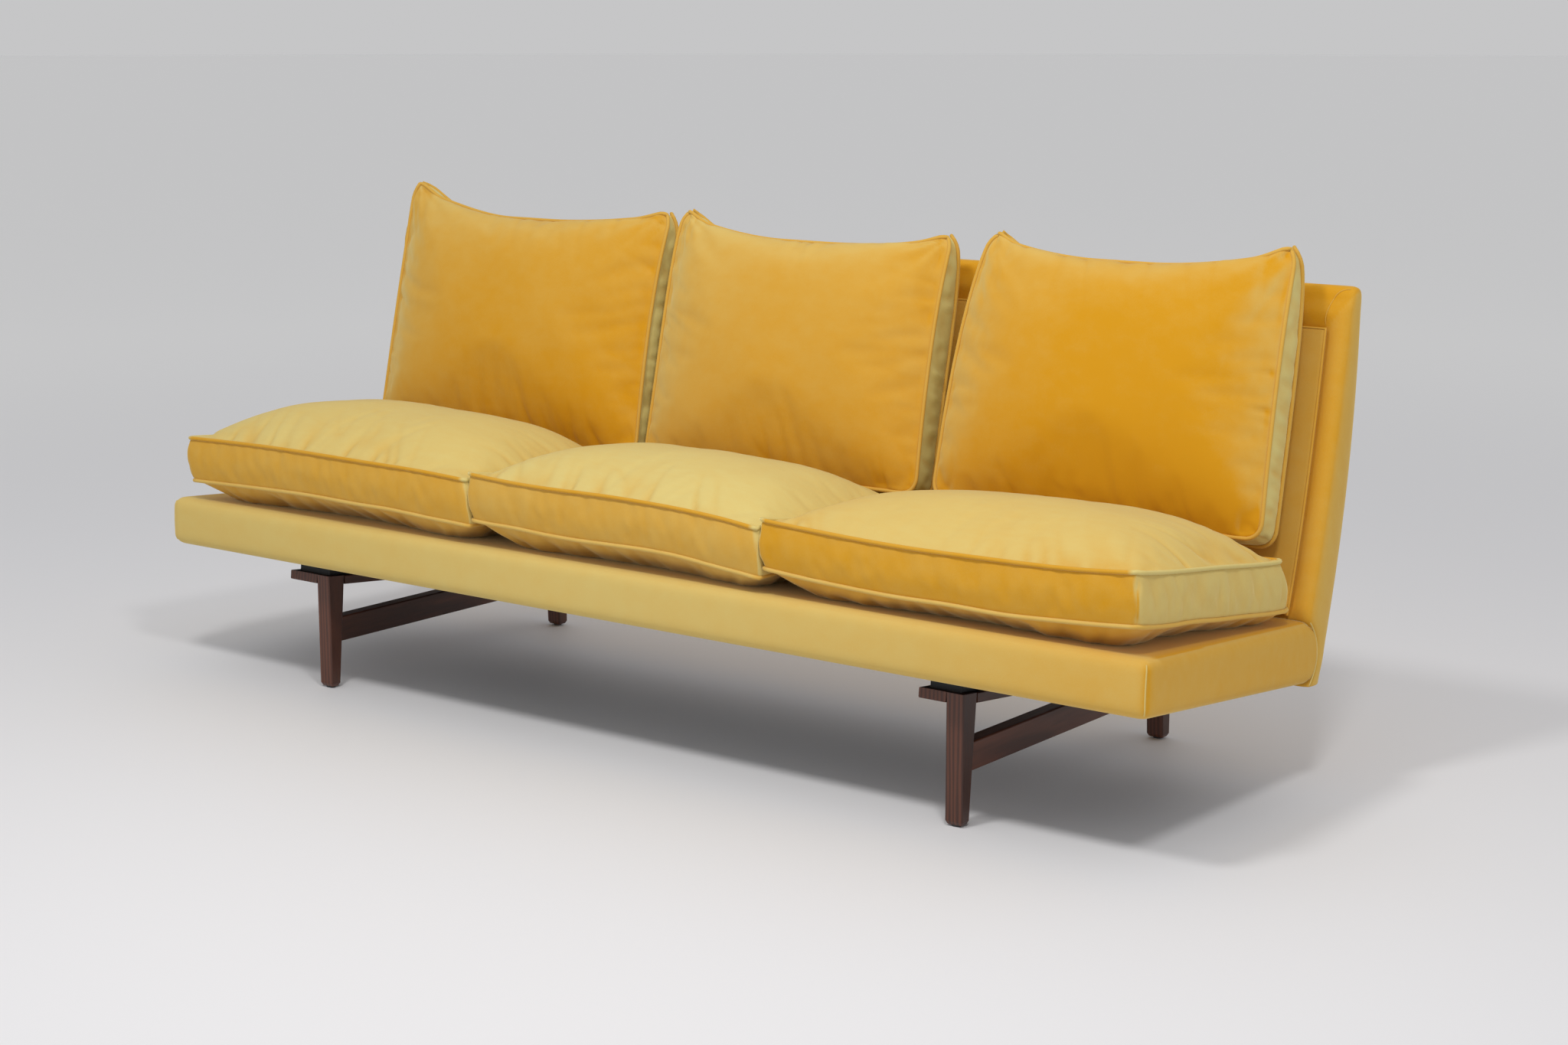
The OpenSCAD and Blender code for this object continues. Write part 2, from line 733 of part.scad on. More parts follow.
back_core_middle();
back_core_right();
back_zip_left();
back_zip_middle();
back_zip_right();
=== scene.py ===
"""Looks of an armless three-seat sofa: velvet base, leaning back, six loose boxed cushions
and two wooden leg frames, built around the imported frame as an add-on."""
import json
import math

import bmesh
import bpy
from bpy.props import FloatProperty, FloatVectorProperty, IntProperty, PointerProperty
from mathutils import Matrix, Vector, noise


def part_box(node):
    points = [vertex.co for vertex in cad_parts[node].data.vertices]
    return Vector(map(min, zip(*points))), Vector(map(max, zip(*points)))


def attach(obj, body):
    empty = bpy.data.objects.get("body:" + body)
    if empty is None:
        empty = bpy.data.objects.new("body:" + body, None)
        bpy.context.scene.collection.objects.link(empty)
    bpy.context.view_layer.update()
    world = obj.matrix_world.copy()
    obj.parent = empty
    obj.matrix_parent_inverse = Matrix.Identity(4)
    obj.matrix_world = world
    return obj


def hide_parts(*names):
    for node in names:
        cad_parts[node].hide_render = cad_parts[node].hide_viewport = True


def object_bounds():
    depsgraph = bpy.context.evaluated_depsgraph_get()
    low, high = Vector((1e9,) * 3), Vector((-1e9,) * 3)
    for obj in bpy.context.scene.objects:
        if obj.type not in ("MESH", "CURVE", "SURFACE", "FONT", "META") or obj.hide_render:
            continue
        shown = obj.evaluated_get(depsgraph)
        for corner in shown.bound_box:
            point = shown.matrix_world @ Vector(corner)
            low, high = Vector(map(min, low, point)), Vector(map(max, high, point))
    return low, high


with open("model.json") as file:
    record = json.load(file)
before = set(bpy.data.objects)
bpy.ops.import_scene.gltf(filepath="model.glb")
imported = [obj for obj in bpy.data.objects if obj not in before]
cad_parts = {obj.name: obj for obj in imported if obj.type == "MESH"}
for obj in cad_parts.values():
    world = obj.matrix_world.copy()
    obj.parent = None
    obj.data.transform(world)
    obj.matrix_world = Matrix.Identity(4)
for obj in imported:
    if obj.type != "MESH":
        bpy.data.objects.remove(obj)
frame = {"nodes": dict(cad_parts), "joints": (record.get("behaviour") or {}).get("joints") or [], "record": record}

bl_info = {
    "name": "Velvet sofa",
    "version": (1, 0, 0),
    "blender": (4, 5, 0),
    "location": "View3D > Sidebar > Sofa",
    "description": "Builds the covers, cushions, woodwork and stage of a three-seat sofa",
    "category": "Add Mesh",
}

SIDES = ("left", "middle", "right")
MM = 0.001
# A box coordinate beyond this lies on the box's face
ON_FACE = 0.999

CAD_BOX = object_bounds()
NODES = frame["nodes"]
JOINT_AXIS = {j["name"]: Vector(j["axis"]) for j in frame["joints"]}

# ---------- places taken from the frame ----------

BASE_LOW, BASE_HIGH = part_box("seat_cover")
BACK_LOW, BACK_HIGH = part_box("back_cover")
PANEL_LOW, PANEL_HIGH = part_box("back_panel")
DUST_LOW, DUST_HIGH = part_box("dust_cover")
HALF_W = BASE_HIGH.x
FRONT_Y = BASE_LOW.y
DECK_Z = BASE_HIGH.z
FRONT_RAKE = 3 * MM

# Unit vectors of the deck: towards the rear along its slope, and square to it
DECK_REAR = -JOINT_AXIS["seat_cushion_left_pull"]
DECK_UP = Vector((0, -DECK_REAR.z, DECK_REAR.y))
DECK_SLOPE = -DECK_REAR.z / DECK_REAR.y
# Unit vectors of the back cushions: up along their lean, and out of their front
LEAN_UP = JOINT_AXIS["back_cushion_left_lift"]
LEAN_FRONT = Vector((0, -LEAN_UP.z, LEAN_UP.y))
UNDER_SLOPE = (DUST_HIGH.z - DUST_LOW.z - 1.2 * MM) / (DUST_HIGH.y - DUST_LOW.y)
UNDER_FRONT_Z = DUST_HIGH.z - 1.4 * MM + UNDER_SLOPE * (DUST_LOW.y - FRONT_Y)
THICK = DECK_Z - UNDER_FRONT_Z


def under_z(y):
    """Height of the underside of the base at a place along the depth."""
    return UNDER_FRONT_Z - (y - FRONT_Y) * UNDER_SLOPE


def deck_z(y):
    """Height of the deck, the top of the base."""
    return DECK_Z - (y - FRONT_Y - FRONT_RAKE) * DECK_SLOPE


# ---------- sizes and colours ----------


class SofaFabric(bpy.types.PropertyGroup):
    """Colours of the velvet, and the sizes of its seams."""

    # Deep and pale gold are mixed by a stored share that also carries painted light, so the pale stands partly for
    # a painted sheen and the deep partly for painted shade
    deep: FloatVectorProperty(
        name="Deep gold", description="Velvet seen with the lie of its pile",
        subtype="COLOR", size=3, min=0, max=1, default=(0.66, 0.315, 0.010))
    pale: FloatVectorProperty(
        name="Pale gold", description="Velvet brushed against the lie of its pile",
        subtype="COLOR", size=3, min=0, max=1, default=(0.69, 0.585, 0.225))
    sheen: FloatVectorProperty(
        name="Sheen", description="Tint of the light that the pile scatters",
        subtype="COLOR", size=3, min=0, max=1, default=(1.0, 0.88, 0.5))
    piping: FloatProperty(
        name="Piping", description="Radius of the piping round the cushions",
        default=3.3 * MM, min=0.002, max=0.008, unit="LENGTH")
    seam: FloatProperty(
        name="Seam", description="Radius of the fine ridge of a plain seam",
        default=1.1 * MM, min=0.0005, max=0.003, unit="LENGTH")


class SofaCushions(bpy.types.PropertyGroup):
    """Sizes of the loose cushions."""

    crowns: FloatVectorProperty(
        name="Seat crowns", description="Height of each seat cushion above the deck",
        size=3, default=(0.190, 0.176, 0.170), unit="LENGTH")
    seat_band: FloatProperty(
        name="Seat band", description="Height of the side band of a seat cushion",
        default=0.077, unit="LENGTH")
    seat_depth: FloatProperty(
        name="Seat depth", description="Depth of a seat cushion along the deck",
        default=0.460, unit="LENGTH")
    back_height: FloatProperty(
        name="Back height", description="Height of the front panel of a back cushion",
        default=0.424, unit="LENGTH")
    back_band: FloatProperty(
        name="Back band", description="Thickness of the side band of a back cushion",
        default=0.049, unit="LENGTH")
    back_swell: FloatProperty(
        name="Front swell", description="Swell of a back cushion's front panel",
        default=0.040, unit="LENGTH")
    rear_swell: FloatProperty(
        name="Rear swell", description="Swell of a back cushion's rear panel",
        default=0.026, unit="LENGTH")
    front_roll: FloatProperty(
        name="Front roll", description="Rise of a back cushion's front over its top seam",
        default=0.021, unit="LENGTH")
    left_ears: FloatVectorProperty(
        name="Left ears", description="Rise of the upper left corners of the back cushions",
        size=3, default=(0.047, 0.027, 0.022), unit="LENGTH")
    right_ears: FloatVectorProperty(
        name="Right ears", description="Rise of the upper right corners of the back cushions",
        size=3, default=(0.019, 0.011, 0.026), unit="LENGTH")
    left_shifts: FloatVectorProperty(
        name="Left shifts", description="Shift to the right of the upper left corners",
        size=3, default=(0.026, 0.017, 0.050), unit="LENGTH")
    right_shifts: FloatVectorProperty(
        name="Right shifts", description="Shift to the right of the upper right corners",
        size=3, default=(0.012, 0.008, -0.003), unit="LENGTH")
    curls: FloatVectorProperty(
        name="Curls", description="How far the upper left corners curl forwards",
        size=3, default=(0.022, 0.004, 0.004), unit="LENGTH")
    top_sags: FloatVectorProperty(
        name="Top sags", description="How far the top edges of the back cushions sag",
        size=3, default=(0.014, 0.022, 0.020), unit="LENGTH")
    pressure: FloatProperty(
        name="Filling pressure", description="Pressure of the filling in the simulation",
        default=4.0, min=0, max=12)
    frames: IntProperty(
        name="Frames", description="Length of the simulation", default=14, min=2, max=30)


class SofaBody(bpy.types.PropertyGroup):
    """Sizes of the upholstered base and back."""

    base_edge: FloatProperty(
        name="Base edge", description="Radius of the soft edges of the base",
        default=0.018, unit="LENGTH")
    back_edge: FloatProperty(
        name="Back edge", description="Radius of the rolled outer edge of the back",
        default=0.019, unit="LENGTH")
    roll: FloatProperty(
        name="Border roll", description="Swell of the border round the panel of the back",
        default=0.005, unit="LENGTH")
    cover: FloatProperty(
        name="Cover", description="Thickness of the velvet cover", default=0.0025,
        unit="LENGTH")


class SofaWood(bpy.types.PropertyGroup):
    """Colours of the woodwork."""

    dark: FloatVectorProperty(
        name="Dark grain", description="Dark streaks of the rosewood", subtype="COLOR",
        size=3, min=0, max=1, default=(0.026, 0.009, 0.005))
    warm: FloatVectorProperty(
        name="Warm grain", description="Warm ground of the rosewood", subtype="COLOR",
        size=3, min=0, max=1, default=(0.150, 0.046, 0.022))
    arris: FloatProperty(
        name="Arris", description="Width of the rounding on the wooden edges",
        default=0.0014, unit="LENGTH")


class SofaStage(bpy.types.PropertyGroup):
    """Floor and light."""

    floor: FloatVectorProperty(
        name="Floor", description="Colour of the floor", subtype="COLOR", size=3, min=0,
        max=1, default=(0.80, 0.80, 0.82))
    key: FloatProperty(
        name="Key lights", description="Power of each of the two overhead lights",
        default=29.5, min=0, unit="POWER")
    ambient: FloatProperty(
        name="Ambient", description="Strength of the even light all round", default=0.57,
        min=0)


# ---------- mesh helpers ----------


def stations(low, high, near, step):
    """Places from low to high: those in near measured in from both ends, and even steps
    between them."""
    start, end = low + near[-1], high - near[-1]
    count = max(1, round((end - start) / step))
    middle = [start + (end - start) * i / count for i in range(1, count)]
    return ([low] + [low + n for n in near] + middle
            + [high - n for n in reversed(near)] + [high])


def block(places):
    """A closed box whose faces are grids with their lines at the given places on each
    axis. Returns the bmesh."""
    bm = bmesh.new()
    bmesh.ops.create_cube(bm, size=2)
    for axis, along in enumerate(places):
        edges = [e for e in bm.edges
                 if abs(e.verts[0].co[axis] - e.verts[1].co[axis]) > 1.5]
        bmesh.ops.subdivide_edges(bm, edges=edges, cuts=len(along) - 2, use_grid_fill=True)
    for v in bm.verts:
        v.co = [along[round((v.co[axis] + 1) / 2 * (len(along) - 1))]
                for axis, along in enumerate(places)]
    return bm


def rounded(p, low, high, radius):
    """Moves a point of a box so that the box gets round edges."""
    inner = Vector([min(max(c, a + radius), b - radius) for c, a, b in zip(p, low, high)])
    out = p - inner
    reach = max(abs(c) for c in out)
    return inner + out * (reach / out.length) if out.length > 1e-9 else p


def new_piece(name, bm, material, smooth=True):
    """Makes an object at the origin from a bmesh, which it frees."""
    mesh = bpy.data.meshes.new(name)
    bm.to_mesh(mesh)
    bm.free()
    mesh.shade_smooth() if smooth else mesh.shade_flat()
    mesh.materials.append(material)
    piece = bpy.data.objects.new(name, mesh)
    bpy.context.scene.collection.objects.link(piece)
    return piece


def apply_modifiers(piece):
    """Replaces a piece's mesh by the one that its modifiers make."""
    graph = bpy.context.evaluated_depsgraph_get()
    finished = bpy.data.meshes.new_from_object(
        piece.evaluated_get(graph), preserve_all_data_layers=True, depsgraph=graph)
    piece.modifiers.clear()
    piece.data = finished


def subdivide(piece):
    """One level of subdivision, applied."""
    modifier = piece.modifiers.new("Soften", "SUBSURF")
    modifier.levels = modifier.render_levels = 1
    modifier.boundary_smooth = "PRESERVE_CORNERS"
    apply_modifiers(piece)


def tube(name, path, radius, material, closed):
    """A round line along a path, as a mesh."""
    curve = bpy.data.curves.new(name, "CURVE")
    curve.dimensions = "3D"
    curve.bevel_depth = radius
    curve.bevel_resolution = 2
    curve.use_fill_caps = not closed
    spline = curve.splines.new("POLY")
    spline.points.add(len(path) - 1)
    for point, place in zip(spline.points, path):
        point.co = (*place, 1)
    spline.use_cyclic_u = closed
    drawn = bpy.data.objects.new(name + "_line", curve)
    bpy.context.scene.collection.objects.link(drawn)
    graph = bpy.context.evaluated_depsgraph_get()
    mesh = bpy.data.meshes.new_from_object(drawn.evaluated_get(graph), depsgraph=graph)
    bpy.data.objects.remove(drawn)
    bpy.data.curves.remove(curve)
    mesh.name = name
    mesh.shade_smooth()
    mesh.materials.clear()
    mesh.materials.append(material)
    piece = bpy.data.objects.new(name, mesh)
    bpy.context.scene.collection.objects.link(piece)
    return piece


def store(mesh, name, kind, values):
    """Writes one value for each vertex into an attribute of the mesh."""
    layer = mesh.attributes.get(name) or mesh.attributes.new(name, kind, "POINT")
    for item, value in zip(layer.data, values):
        if kind == "FLOAT":
            item.value = value
        else:
            item.vector = value


def fit(piece, body, slot, *replaced):
    """Puts a finished piece on its body and hides the nodes it stands for. The slot is not used."""
    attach(piece, body)
    if replaced:
        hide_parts(*replaced)
    return piece


def paint(piece, pile):
    """Stores how pale each vertex's velvet is, from its pile and from painted sheen and shade: one number, or a
    function of the vertex.
    """
    store(piece.data, "nap_and_painted_light", "FLOAT",
          [pile(v) if callable(pile) else pile for v in piece.data.vertices])


def velvet_line(name, path, radius, pile, body="frame", closed=False):
    """Piping, a welt or a seam along a path, on its body."""
    line = tube(name, path, radius, finish("gold_velvet"), closed)
    paint(line, pile)
    return fit(line, body, "velvet")


def add_cube(bm, place, size):
    """A small block, with its middle and axes at the place, a matrix."""
    bmesh.ops.create_cube(bm, size=1, matrix=place @ Matrix.Diagonal((*size, 1)))


def smooth_step(low, high, value):
    """0 below low, 1 above high, and a smooth rise between them."""
    t = min(max((value - low) / (high - low), 0), 1)
    return t * t * (3 - 2 * t)


def curve_point(a, b, c, t):
    """A point of the curve from a to c that is drawn towards b."""
    return (1 - t) ** 2 * a + 2 * t * (1 - t) * b + t ** 2 * c


def wave(x, y, seed):
    """Smooth noise from -1 to 1."""
    return noise.noise(Vector((x, y, 7.3 * seed)))


# ---------- materials ----------


def new_material(name):
    """A node material, its shader and its Object coordinates."""
    material = bpy.data.materials.new(name)
    material.use_nodes = True
    tree = material.node_tree
    shader = tree.nodes["Principled BSDF"]
    place = tree.nodes.new("ShaderNodeTexCoord").outputs["Object"]
    return material, tree, shader, place


def connect(tree, socket, value):
    """Links another node's output to a socket, or sets the socket's own value."""
    if isinstance(value, bpy.types.NodeSocket):
        tree.links.new(value, socket)
    else:
        socket.default_value = value


def set_inputs(tree, target, **inputs):
    """Sets or links a node's inputs by name, with _ for each space."""
    for name, value in inputs.items():
        connect(tree, target.inputs[name.replace("_", " ")], value)


def node(tree, kind, **inputs):
    """A shader node with its inputs set or linked."""
    made = tree.nodes.new(kind)
    set_inputs(tree, made, **inputs)
    return made


def math_node(tree, operation, *values):
    """The result of a Math node."""
    made = tree.nodes.new("ShaderNodeMath")
    made.operation = operation
    for socket, value in zip(made.inputs, values):
        connect(tree, socket, value)
    return made.outputs[0]


def add_part(tree, total, noise_value, weight):
    """The total plus a noise that swings round 0, times its weight."""
    swing = math_node(tree, "SUBTRACT", noise_value, 0.5)
    return math_node(tree, "MULTIPLY_ADD", swing, weight, total)


def scaled(tree, place, scale, turn=(0, 0, 0)):
    """Coordinates stretched and turned by a Mapping node."""
    return node(tree, "ShaderNodeMapping", Vector=place, Scale=scale,
                Rotation=turn).outputs["Vector"]


def speckle(tree, place, scale, detail=2.0, roughness=0.5):
    """Noise from 0 to 1."""
    return node(tree, "ShaderNodeTexNoise", Vector=place, Scale=scale, Detail=detail,
                Roughness=roughness).outputs[0]


def blend_colours(tree, share, first, second):
    """The first colour where the share is 0 and the second where it is 1."""
    made = tree.nodes.new("ShaderNodeMix")
    made.data_type = "RGBA"
    for number, value in ((0, share), (6, (*first, 1)), (7, (*second, 1))):
        connect(tree, made.inputs[number], value)
    return made.outputs[2]


def surface(tree, shader, colour, height, strength, depth, **inputs):
    """Sets a shader's colour and bumps and its other inputs."""
    made = node(tree, "ShaderNodeBump", Height=height, Strength=strength, Distance=depth)
    set_inputs(tree, shader, Base_Color=colour, Normal=made.outputs[0], **inputs)


def velvet(fabric):
    """Short-pile velvet. A stored attribute says how pale it is: where its pile is brushed pale, and where sheen,
    top light and shade are painted in.
    """
    material, tree, shader, place = new_material("gold_velvet")
    nap_and_painted_light = tree.nodes.new("ShaderNodeAttribute")
    nap_and_painted_light.attribute_name = "nap_and_painted_light"
    drifts = speckle(tree, place, 6.0, 4.0, 0.55)
    strokes = speckle(tree, scaled(tree, place, (26, 60, 34)), 1.0, 3.0, 0.6)
    pile = speckle(tree, place, 900.0, 2.0, 0.7)
    # The stored share carries the pile's lie together with painted sheen, painted top light and painted shade
    share = nap_and_painted_light.outputs["Fac"]
    for part, weight in ((drifts, 0.16), (strokes, 0.20), (pile, 0.25)):
        share = add_part(tree, share, part, weight)
    surface(tree, shader, blend_colours(tree, share, fabric.deep, fabric.pale),
            math_node(tree, "MULTIPLY_ADD", strokes, 0.6, pile), 0.25, 0.0006,
            Roughness=0.85, Specular_IOR_Level=0.15, Sheen_Weight=0.65,
            Sheen_Roughness=0.3, Sheen_Tint=(*fabric.sheen, 1))
    return material


def rosewood(wood, name, turn):
    """Oiled rosewood with its grain along local Z after the turn."""
    material, tree, shader, place = new_material(name)
    along = scaled(tree, place, (1, 1, 1), turn)
    warp = speckle(tree, scaled(tree, along, (9, 9, 1.6)), 1.0, 2.0)
    bands = node(tree, "ShaderNodeTexWave", Vector=scaled(tree, along, (1, 0.5, 0.06)),
                 Scale=42.0, Distortion=5.0, Detail=3.0, Detail_Scale=1.6)
    bands.wave_type = "BANDS"
    bands.bands_direction = "X"
    pores = speckle(tree, scaled(tree, along, (700, 700, 22)), 1.0, 2.0, 0.6)
    share = math_node(tree, "MULTIPLY", bands.outputs["Fac"], 0.55)
    share = math_node(tree, "MULTIPLY_ADD", warp, 0.5, share)
    surface(tree, shader,
            blend_colours(tree, add_part(tree, share, pores, 0.5), wood.dark, wood.warm),
            pores, 0.15, 0.0003, Roughness=math_node(tree, "MULTIPLY_ADD", pores, 0.2, 0.3))
    return material


# Finishes of the parts that are mostly hidden: two colours, scale, roughness, how much the
# noise is squeezed along each axis, depth of the bumps, and how metallic
EVEN = (1, 1, 1)
PLAIN = {
    "black_wood": ((0.010, 0.009, 0.009), (0.03, 0.027, 0.025), 1.0, 0.45, (60, 8, 60)),
    "beech": ((0.56, 0.36, 0.19), (0.68, 0.48, 0.28), 1.0, 0.6, (8, 70, 70)),
    "foam": ((0.74, 0.68, 0.5), (0.82, 0.77, 0.62), 400.0, 0.95, EVEN, 0.001),
    "webbing": ((0.02, 0.018, 0.016), (0.07, 0.06, 0.05), 1.0, 0.8, (30, 500, 30)),
    "black_cloth": ((0.008, 0.008, 0.009), (0.03, 0.03, 0.034), 1.0, 0.9, (900, 900, 300)),
    "zip_tape": ((0.30, 0.17, 0.03), (0.42, 0.25, 0.06), 1.0, 0.8, (800, 800, 800)),
    "black_plastic": ((0.012, 0.012, 0.012), (0.03, 0.03, 0.03), 300.0, 0.5, EVEN),
    "steel": ((0.45, 0.45, 0.47), (0.6, 0.6, 0.62), 500.0, 0.35, EVEN, 0.0003, 1.0),
}


def plain(name, first, second, scale, roughness, stretch, depth=0.0003, metallic=0.0):
    """A two-tone noise finish."""
    material, tree, shader, place = new_material(name)
    grain = speckle(tree, scaled(tree, place, stretch), scale, 3.0, 0.6)
    surface(tree, shader, blend_colours(tree, grain, first, second), grain, 0.3, depth,
            Roughness=roughness, Metallic=metallic)
    return material


def finish(name):
    """The named material, made once."""
    if name in bpy.data.materials:
        return bpy.data.materials[name]
    if name in PLAIN:
        return plain(name, *PLAIN[name])
    if name == "gold_velvet":
        return velvet(bpy.context.scene.sofa_fabric)
    quarter = math.radians(90)
    turn = {"rosewood_upright": (0, 0, 0), "rosewood_level": (quarter, 0, 0)}[name]
    return rosewood(bpy.context.scene.sofa_wood, name, turn)


# ---------- cushions ----------


def superellipse(a, b, power_a, power_b):
    """Fullness of a panel: 1 at its middle and 0 along its edges."""
    return (1 - abs(a) ** power_a) * (1 - abs(b) ** power_b)


def round_corner(x, y, half_x, half_y, radius):
    """Rounds the corners of a rectangle in plan."""
    inner_x = min(max(x, radius - half_x), half_x - radius)
    inner_y = min(max(y, radius - half_y), half_y - radius)
    dx, dy = x - inner_x, y - inner_y
    length = math.hypot(dx, dy)
    if length < 1e-9:
        return x, y
    reach = max(abs(dx), abs(dy)) / length
    return inner_x + dx * reach, inner_y + dy * reach


def groove(along, across, seed):
    """Depth, 0 to 1, of narrow creases that cross a seam."""
    return max(0, 1 - abs(wave(along * 26, across * 8, seed)) / 0.36) ** 1.6


def patch(along, seed):
    """Where along a seam the creases gather, 0 to 1."""
    return smooth_step(-0.45, 0.1, wave(along * 6, 0.5, seed + 20))


def puckers(along, inward, slant, away, reach, seed):
    """Slanted creases that start at a seam and fade over the reach."""
    return (groove(along + slant * inward, inward, seed) * math.exp(-away / reach)
            * patch(along, seed))


# How many millimetres the left and right ends of each seat cushion lie from their even
# places, at the front and at the rear. Then how many millimetres its left and right front
# corners are lifted, and its front seams arched between them
SEAT_MOVES = {"left": ((-8, -7), (-4, -3)), "middle": ((-11, -12), (-5, -6)),
              "right": ((-15, 0), (-7, 9))}
SEAT_LIFTS = {"left": (-1, -3, 6), "middle": (10, -10, 5), "right": (7, 8, -4)}
# How much paler than the right cushions the others are
EXTRA_PILE = {"left": 0.10, "middle": 0.17, "right": 0.0}


class Cushion:
    """What both kinds of cushion share. A call turns box coordinates, -1 to 1 on each
    axis, into a place."""

    def __init__(self, side):
        self.side, self.index = side, SIDES.index(side)
        self.name = f"{self.KIND}_cushion_{side}"
        self.body = f"{self.name}_body"
        self.low, self.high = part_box(self.name)
        self.half_w = (self.high.x - self.low.x) / 2


class SeatCushion(Cushion):
    """A seat cushion, which lies on the deck. Its band goes round its Z axis."""

    KIND, SEAM_AXIS, ZIP_AT = "seat", 2, (0, 1, 0)
    ROUNDS = ((1, "upper"), (-1, "lower"))
    FRONT_CORNER, REAR_CORNER = 15 * MM, 36 * MM
    PULL = 1.5 * MM
    BAND_BULGE = 6 * MM

    def __init__(self, side, cushions):
        super().__init__(side)
        self.moves = [[m * MM for m in pair] for pair in SEAT_MOVES[side]]
        self.lifts = [m * MM for m in SEAT_LIFTS[side]]
        # Room to swell at an outer end, and towards a neighbour
        outer, inner = 6 * MM, 0.8 * MM
        self.spare = (outer if side == "left" else inner, outer if side == "right" else inner)
        self.half_d = cushions.seat_depth / 2
        self.band = cushions.seat_band
        self.crown = cushions.crowns[self.index]
        # The right cushion's crown is higher towards its outer end
        self.tilt = 0.18 if side == "right" else 0.0
        self.seed = self.index + 1
        self.sizes = (2 * self.half_w, 2 * self.half_d, self.band)

    def span(self, rear):
        """Left and right ends at a share of the depth."""
        return [end + a + (b - a) * rear
                for end, a, b in zip((self.low.x, self.high.x), *self.moves)]

    def keep_in(self, place, rear, margin=0.0):
        """Stops a place at the neighbouring cushions, less a margin."""
        left, right = self.span(rear)
        place.x = min(max(place.x, left - self.spare[0] + margin),
                      right + self.spare[1] - margin)

    def seam_z(self, bx, by, top):
        """Height of a seam above the deck: corners lifted, rear pressed down."""
        rear = (by + 1) / 2
        lift = (self.lifts[bx > 0] if by < 0 else 9 * MM) * (abs(bx) * abs(by)) ** 3
        if by < 0:
            lift += self.lifts[2] * (1 - bx * bx) * abs(by) ** 3
        low = 35 * MM - 20 * MM * rear ** 2.5 + lift
        if top:
            return low + self.band + 3 * MM * wave(bx * 1.4, by, self.seed)
        return low + 3 * MM * wave(bx * 2.4, by * 2, self.seed + 9)

    def __call__(self, b):
        bx, by, bz = b
        rear, rise = (by + 1) / 2, (bz + 1) / 2
        edge = max(abs(bx), abs(by))
        x, y = round_corner(bx * self.half_w, by * self.half_d, self.half_w, self.half_d,
                            self.REAR_CORNER if by > 0 else self.FRONT_CORNER)
        x -= self.PULL * bx * abs(bx) * (1 - by * by)
        y -= self.PULL * by * abs(by) * (1 - bx * bx)
        if edge > ON_FACE:
            bulge = self.BAND_BULGE * (1 - bz * bz)
            x += bulge * bx * abs(bx) ** 5
            y += bulge * by * abs(by) ** 5
        y -= (12 * MM + 22 * MM * rear) * rise
        left, right = self.span(rear)
        x = (left + right) / 2 + x * (right - left) / (2 * self.half_w)
        low, high = self.seam_z(bx, by, False), self.seam_z(bx, by, True)
        if bz > ON_FACE:
            rise = (self.crown - self.band - 36 * MM) * (1 + 0.12 * by + self.tilt * bx)
            z = high + rise * superellipse(bx, by, 4.4, 3.0)
        elif bz < -ON_FACE:
            z = max(low - 64 * MM * superellipse(bx, by, 6, 6), 1 * MM)
        else:
            z = low + (high - low) * rise
        return self.place(x, y + self.half_d, z)

    def place(self, x, along, z):
        """A place from x, the distance along the deck and the height above it."""
        start = Vector((x, FRONT_Y + FRONT_RAKE, DECK_Z))
        return start + DECK_REAR * (along + 4 * MM) + DECK_UP * z

    def creases(self, b):
        """How far the cover stands out, for its dents, puckers and band wrinkles, and how much they shift its
        colour: deeper in the puckers, a painted shade, and on the band paler on the wrinkles' crests and deeper in
        their hollows, painted light and shade."""
        x, y, seed = b.x * self.half_w, b.y * self.half_d, self.seed
        dx, dy = self.half_w - abs(x), self.half_d - abs(y)
        if abs(b.z) > 0.99:
            inside = min(dx, dy)
            soft = 2.6 * MM * wave(x * 9, y * 11, seed + 30) * min(1, inside / 0.05)
            lines = (puckers(x, y, 0.5, dy, 0.050, seed)
                     + puckers(y, x, -0.3, dx, 0.035, seed + 1))
            lines *= min(1, inside / 0.008) * (1 if b.z > 0 else 0.25)
            # The second number deepens the colour in the puckers, a painted shade
            return soft - 7.5 * MM * lines, -0.4 * lines
        along, strength = (x, 1.2) if dy < dx else (y, 2.6)
        ripple = wave(along * 55, b.z * 0.8, seed + 3) - groove(along, b.z * 0.03, seed + 4)
        ripple *= strength * (1 - b.z * b.z)
        # The second number pales the band where its wrinkles stand out and deepens it in their hollows, painted
        # light and shade
        return MM * ripple, 0.035 * ripple

    def keep_off(self, place, b):
        """Keeps a place between the neighbours and above the deck."""
        self.keep_in(place, (b.y + 1) / 2)
        height = (place - Vector((0, FRONT_Y + FRONT_RAKE, DECK_Z))).dot(DECK_UP)
        place += DECK_UP * max(0, 1 * MM - height)

    def pile(self, b, normal):
        """Pale on top, partly its pile and partly a painted sheen, and paler where the top faces up, painted top
        light; paler where the end bands turn sideways, a painted sheen; deep on the front band; deep underneath, a
        painted shade over the deck.
        """
        # On top: pale, partly its pile and partly a painted sheen, and paler where it faces up, painted top light
        if b.z > 0.97:
            return 0.66 - 0.10 * smooth_step(0.2, 0.8, 1 - normal.z)
        # Underneath: deep, a painted shade in the gap above the deck
        if b.z < -0.97:
            return 0.22
        # Bands: deep on the front, paler where they turn sideways at the ends, a painted sheen
        return 0.12 + 0.62 * smooth_step(0.35, 0.8, abs(normal.x))

    def piping(self, end, path, radius):
        """Keeps the piping's path between the neighbours, and gives its pile, with the upper piping painted pale
        at the ends, a painted sheen like that of the end bands.
        """
        for point in path:
            self.keep_in(point, (point.y - FRONT_Y) / (2 * self.half_d), radius)
